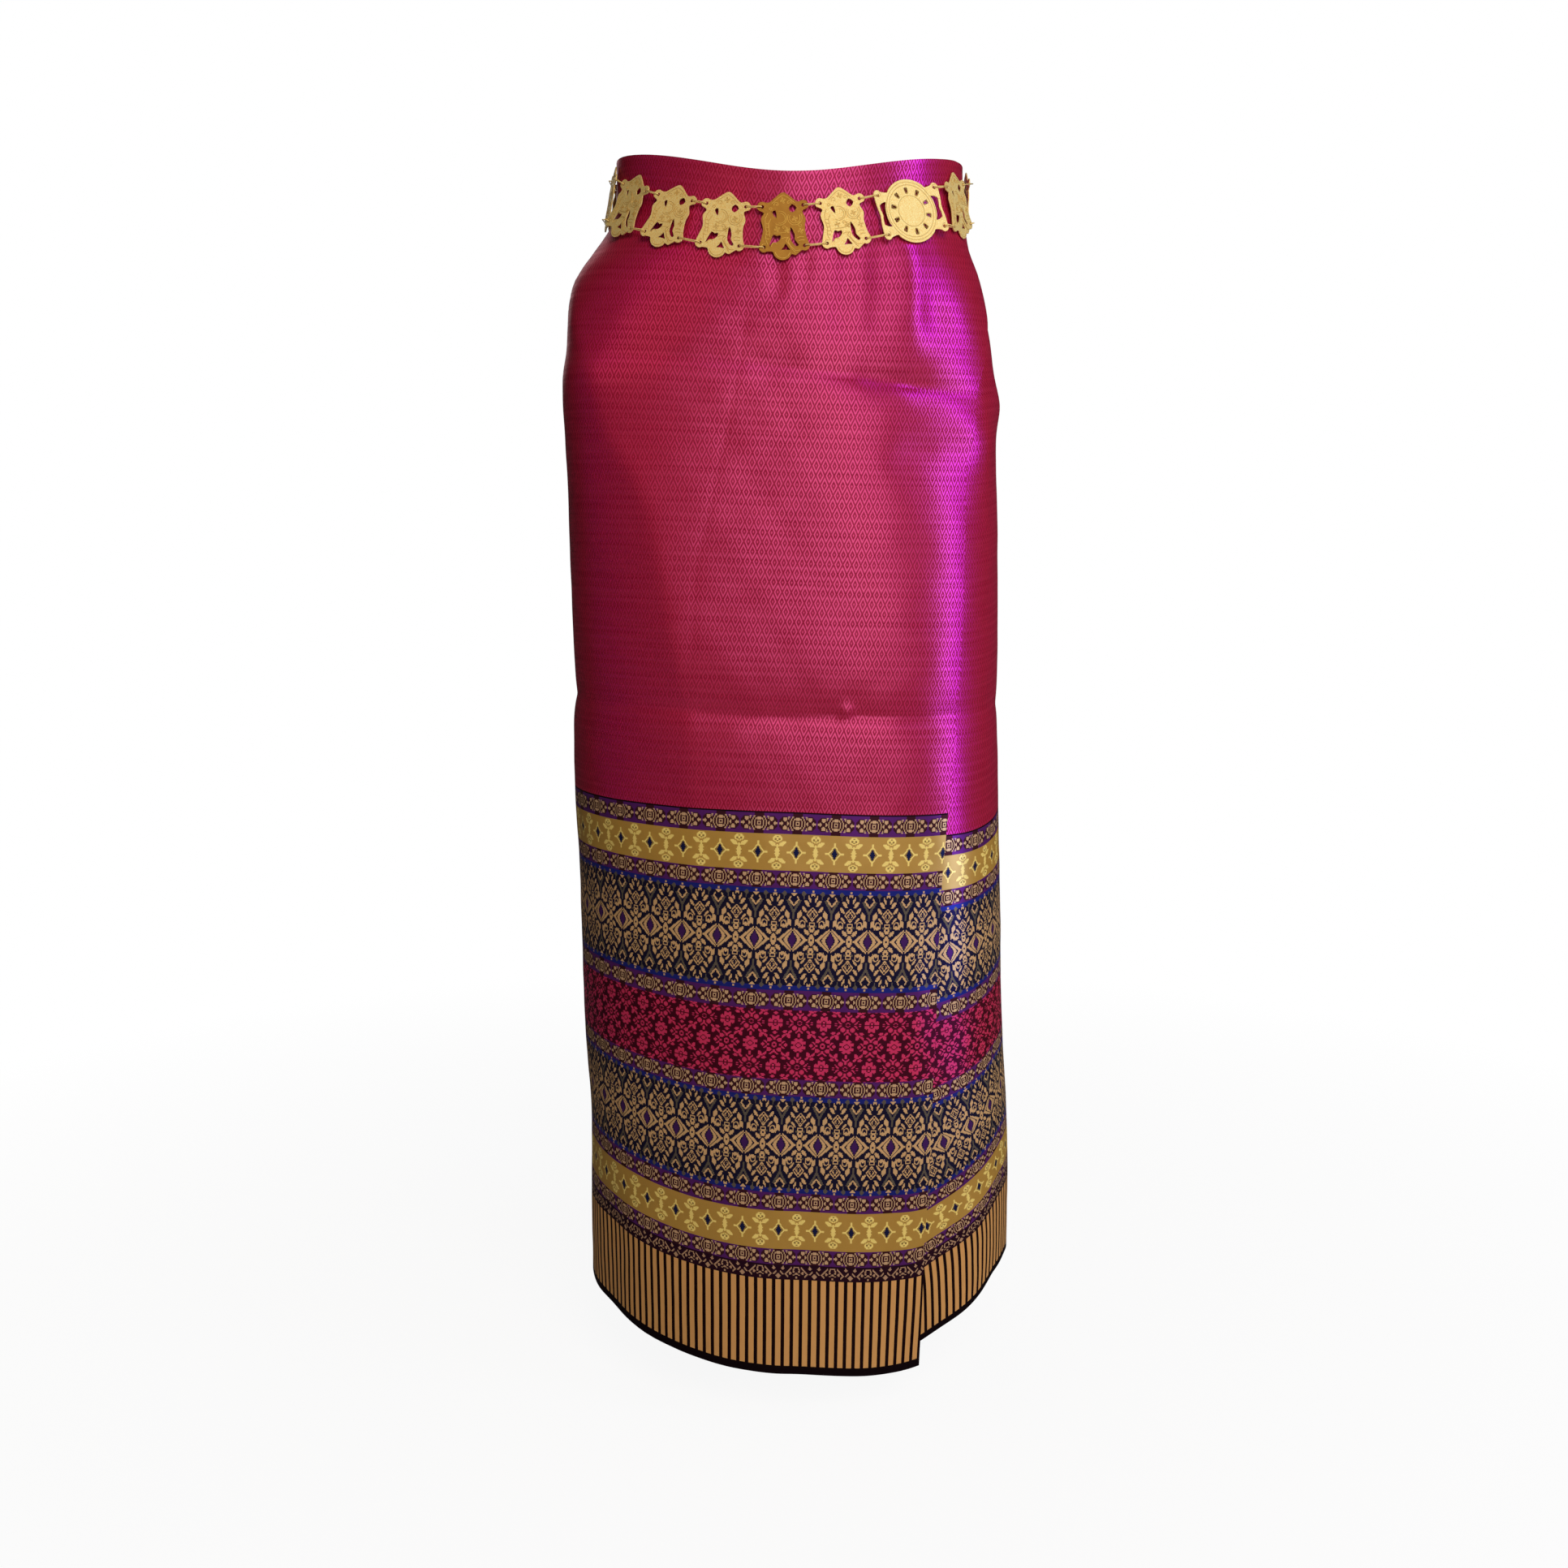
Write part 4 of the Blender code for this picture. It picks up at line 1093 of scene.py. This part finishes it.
studio = {
    "cameraAt": (-0.0034, -1.4, -0.2738),
    "pitchDeg": 7.9,
    "lens": 37.0,
    "floorZ": -0.975,
    "floorReach": 30,
    "floorGlow": (0.8, 0.12),  # at the origin, and what it gains per metre away
    "skyLight": 0.03,
    "lamps": {  # place, aim, width, height, watts, colour, lights gloss, lights matte surfaces
        "key": ((1.78, -0.72, 0.6), (0.0, -0.05, 0.6), 0.6, 2.95, 19.5, "#DCE6FF", True, True),
        "front": ((0.7, -2.6, 1.45), (0.0, 0.0, -0.4), 1.8, 1.8, 66, "#FFF2E4", False, True),
        "sheen": ((0.85, -2.7, 0.78), (0.0, 0.0, 0.28), 2.0, 2.9, 18.0, "#FFF4F0", True, True),
        "hip": ((-1.13, -1.6, 1.6), (-0.1, -0.13, -0.1), 1.6, 1.6, 4.0, "#FFC890", True, False),
        "back": ((-0.6, 2.2, 0.9), (0.0, 0.0, -0.4), 1.6, 1.6, 8, "#FFFFFF", True, True),
    },
}


def makeStudio():
    scene = bpy.context.scene
    camera = newObject("camera", bpy.data.cameras.new("camera"))
    camera.data.lens = studio["lens"]
    camera.location = studio["cameraAt"]
    camera.rotation_euler = (math.radians(90 - studio["pitchDeg"]), 0, 0)
    scene.camera = camera

    mesh = bpy.data.meshes.new("floor")
    reach, z = studio["floorReach"], studio["floorZ"]
    corners = [(-reach, -reach, z), (reach, -reach, z), (reach, reach, z), (-reach, reach, z)]
    mesh.from_pydata(corners, [], [(0, 1, 2, 3)])
    paper, start = newMaterial("palePaper")
    away = start.add("VectorMath", {0: start.add("TexCoord", out=3)}, {"operation": "LENGTH"}, 1)
    seen, plain, white = [start.add(kind) for kind in ("LightPath", "BsdfDiffuse", "Emission")]
    near, gain = studio["floorGlow"]
    glow = seen * start.math("MINIMUM", away * gain + near, 1.0)
    start.finish(start.add("MixShader", {0: glow, 1: plain, 2: white}))
    mesh.materials.append(paper)
    floor = newObject("floor", mesh)
    floor.visible_glossy = False

    for name, (at, aim, width, height, watts, colour, glossy, matte) in studio["lamps"].items():
        lamp = bpy.data.lights.new(name, "AREA")
        lamp.shape = "RECTANGLE"
        lamp.size = width
        lamp.size_y = height
        lamp.energy = watts
        lamp.color = linear(colour)[:3]
        made = newObject(name, lamp)
        made.location = at
        made.rotation_euler = (Vector(aim) - Vector(at)).to_track_quat("-Z", "Y").to_euler()
        made.visible_camera = False
        made.visible_glossy = glossy
        made.visible_diffuse = matte

    world = bpy.data.worlds.new("studio")
    scene.world = world
    world.use_nodes = True
    world.node_tree.nodes.clear()
    sky = Wire(world.node_tree)
    strength = sky.add("LightPath") * (1 - studio["skyLight"]) + studio["skyLight"]
    light = sky.add("Background", {0: (1, 1, 1, 1), 1: strength})
    sky.finish(light, "ShaderNodeOutputWorld")
    scene.view_settings.view_transform = "Standard"


makeStudio()
makeCloth()
makeBelt()
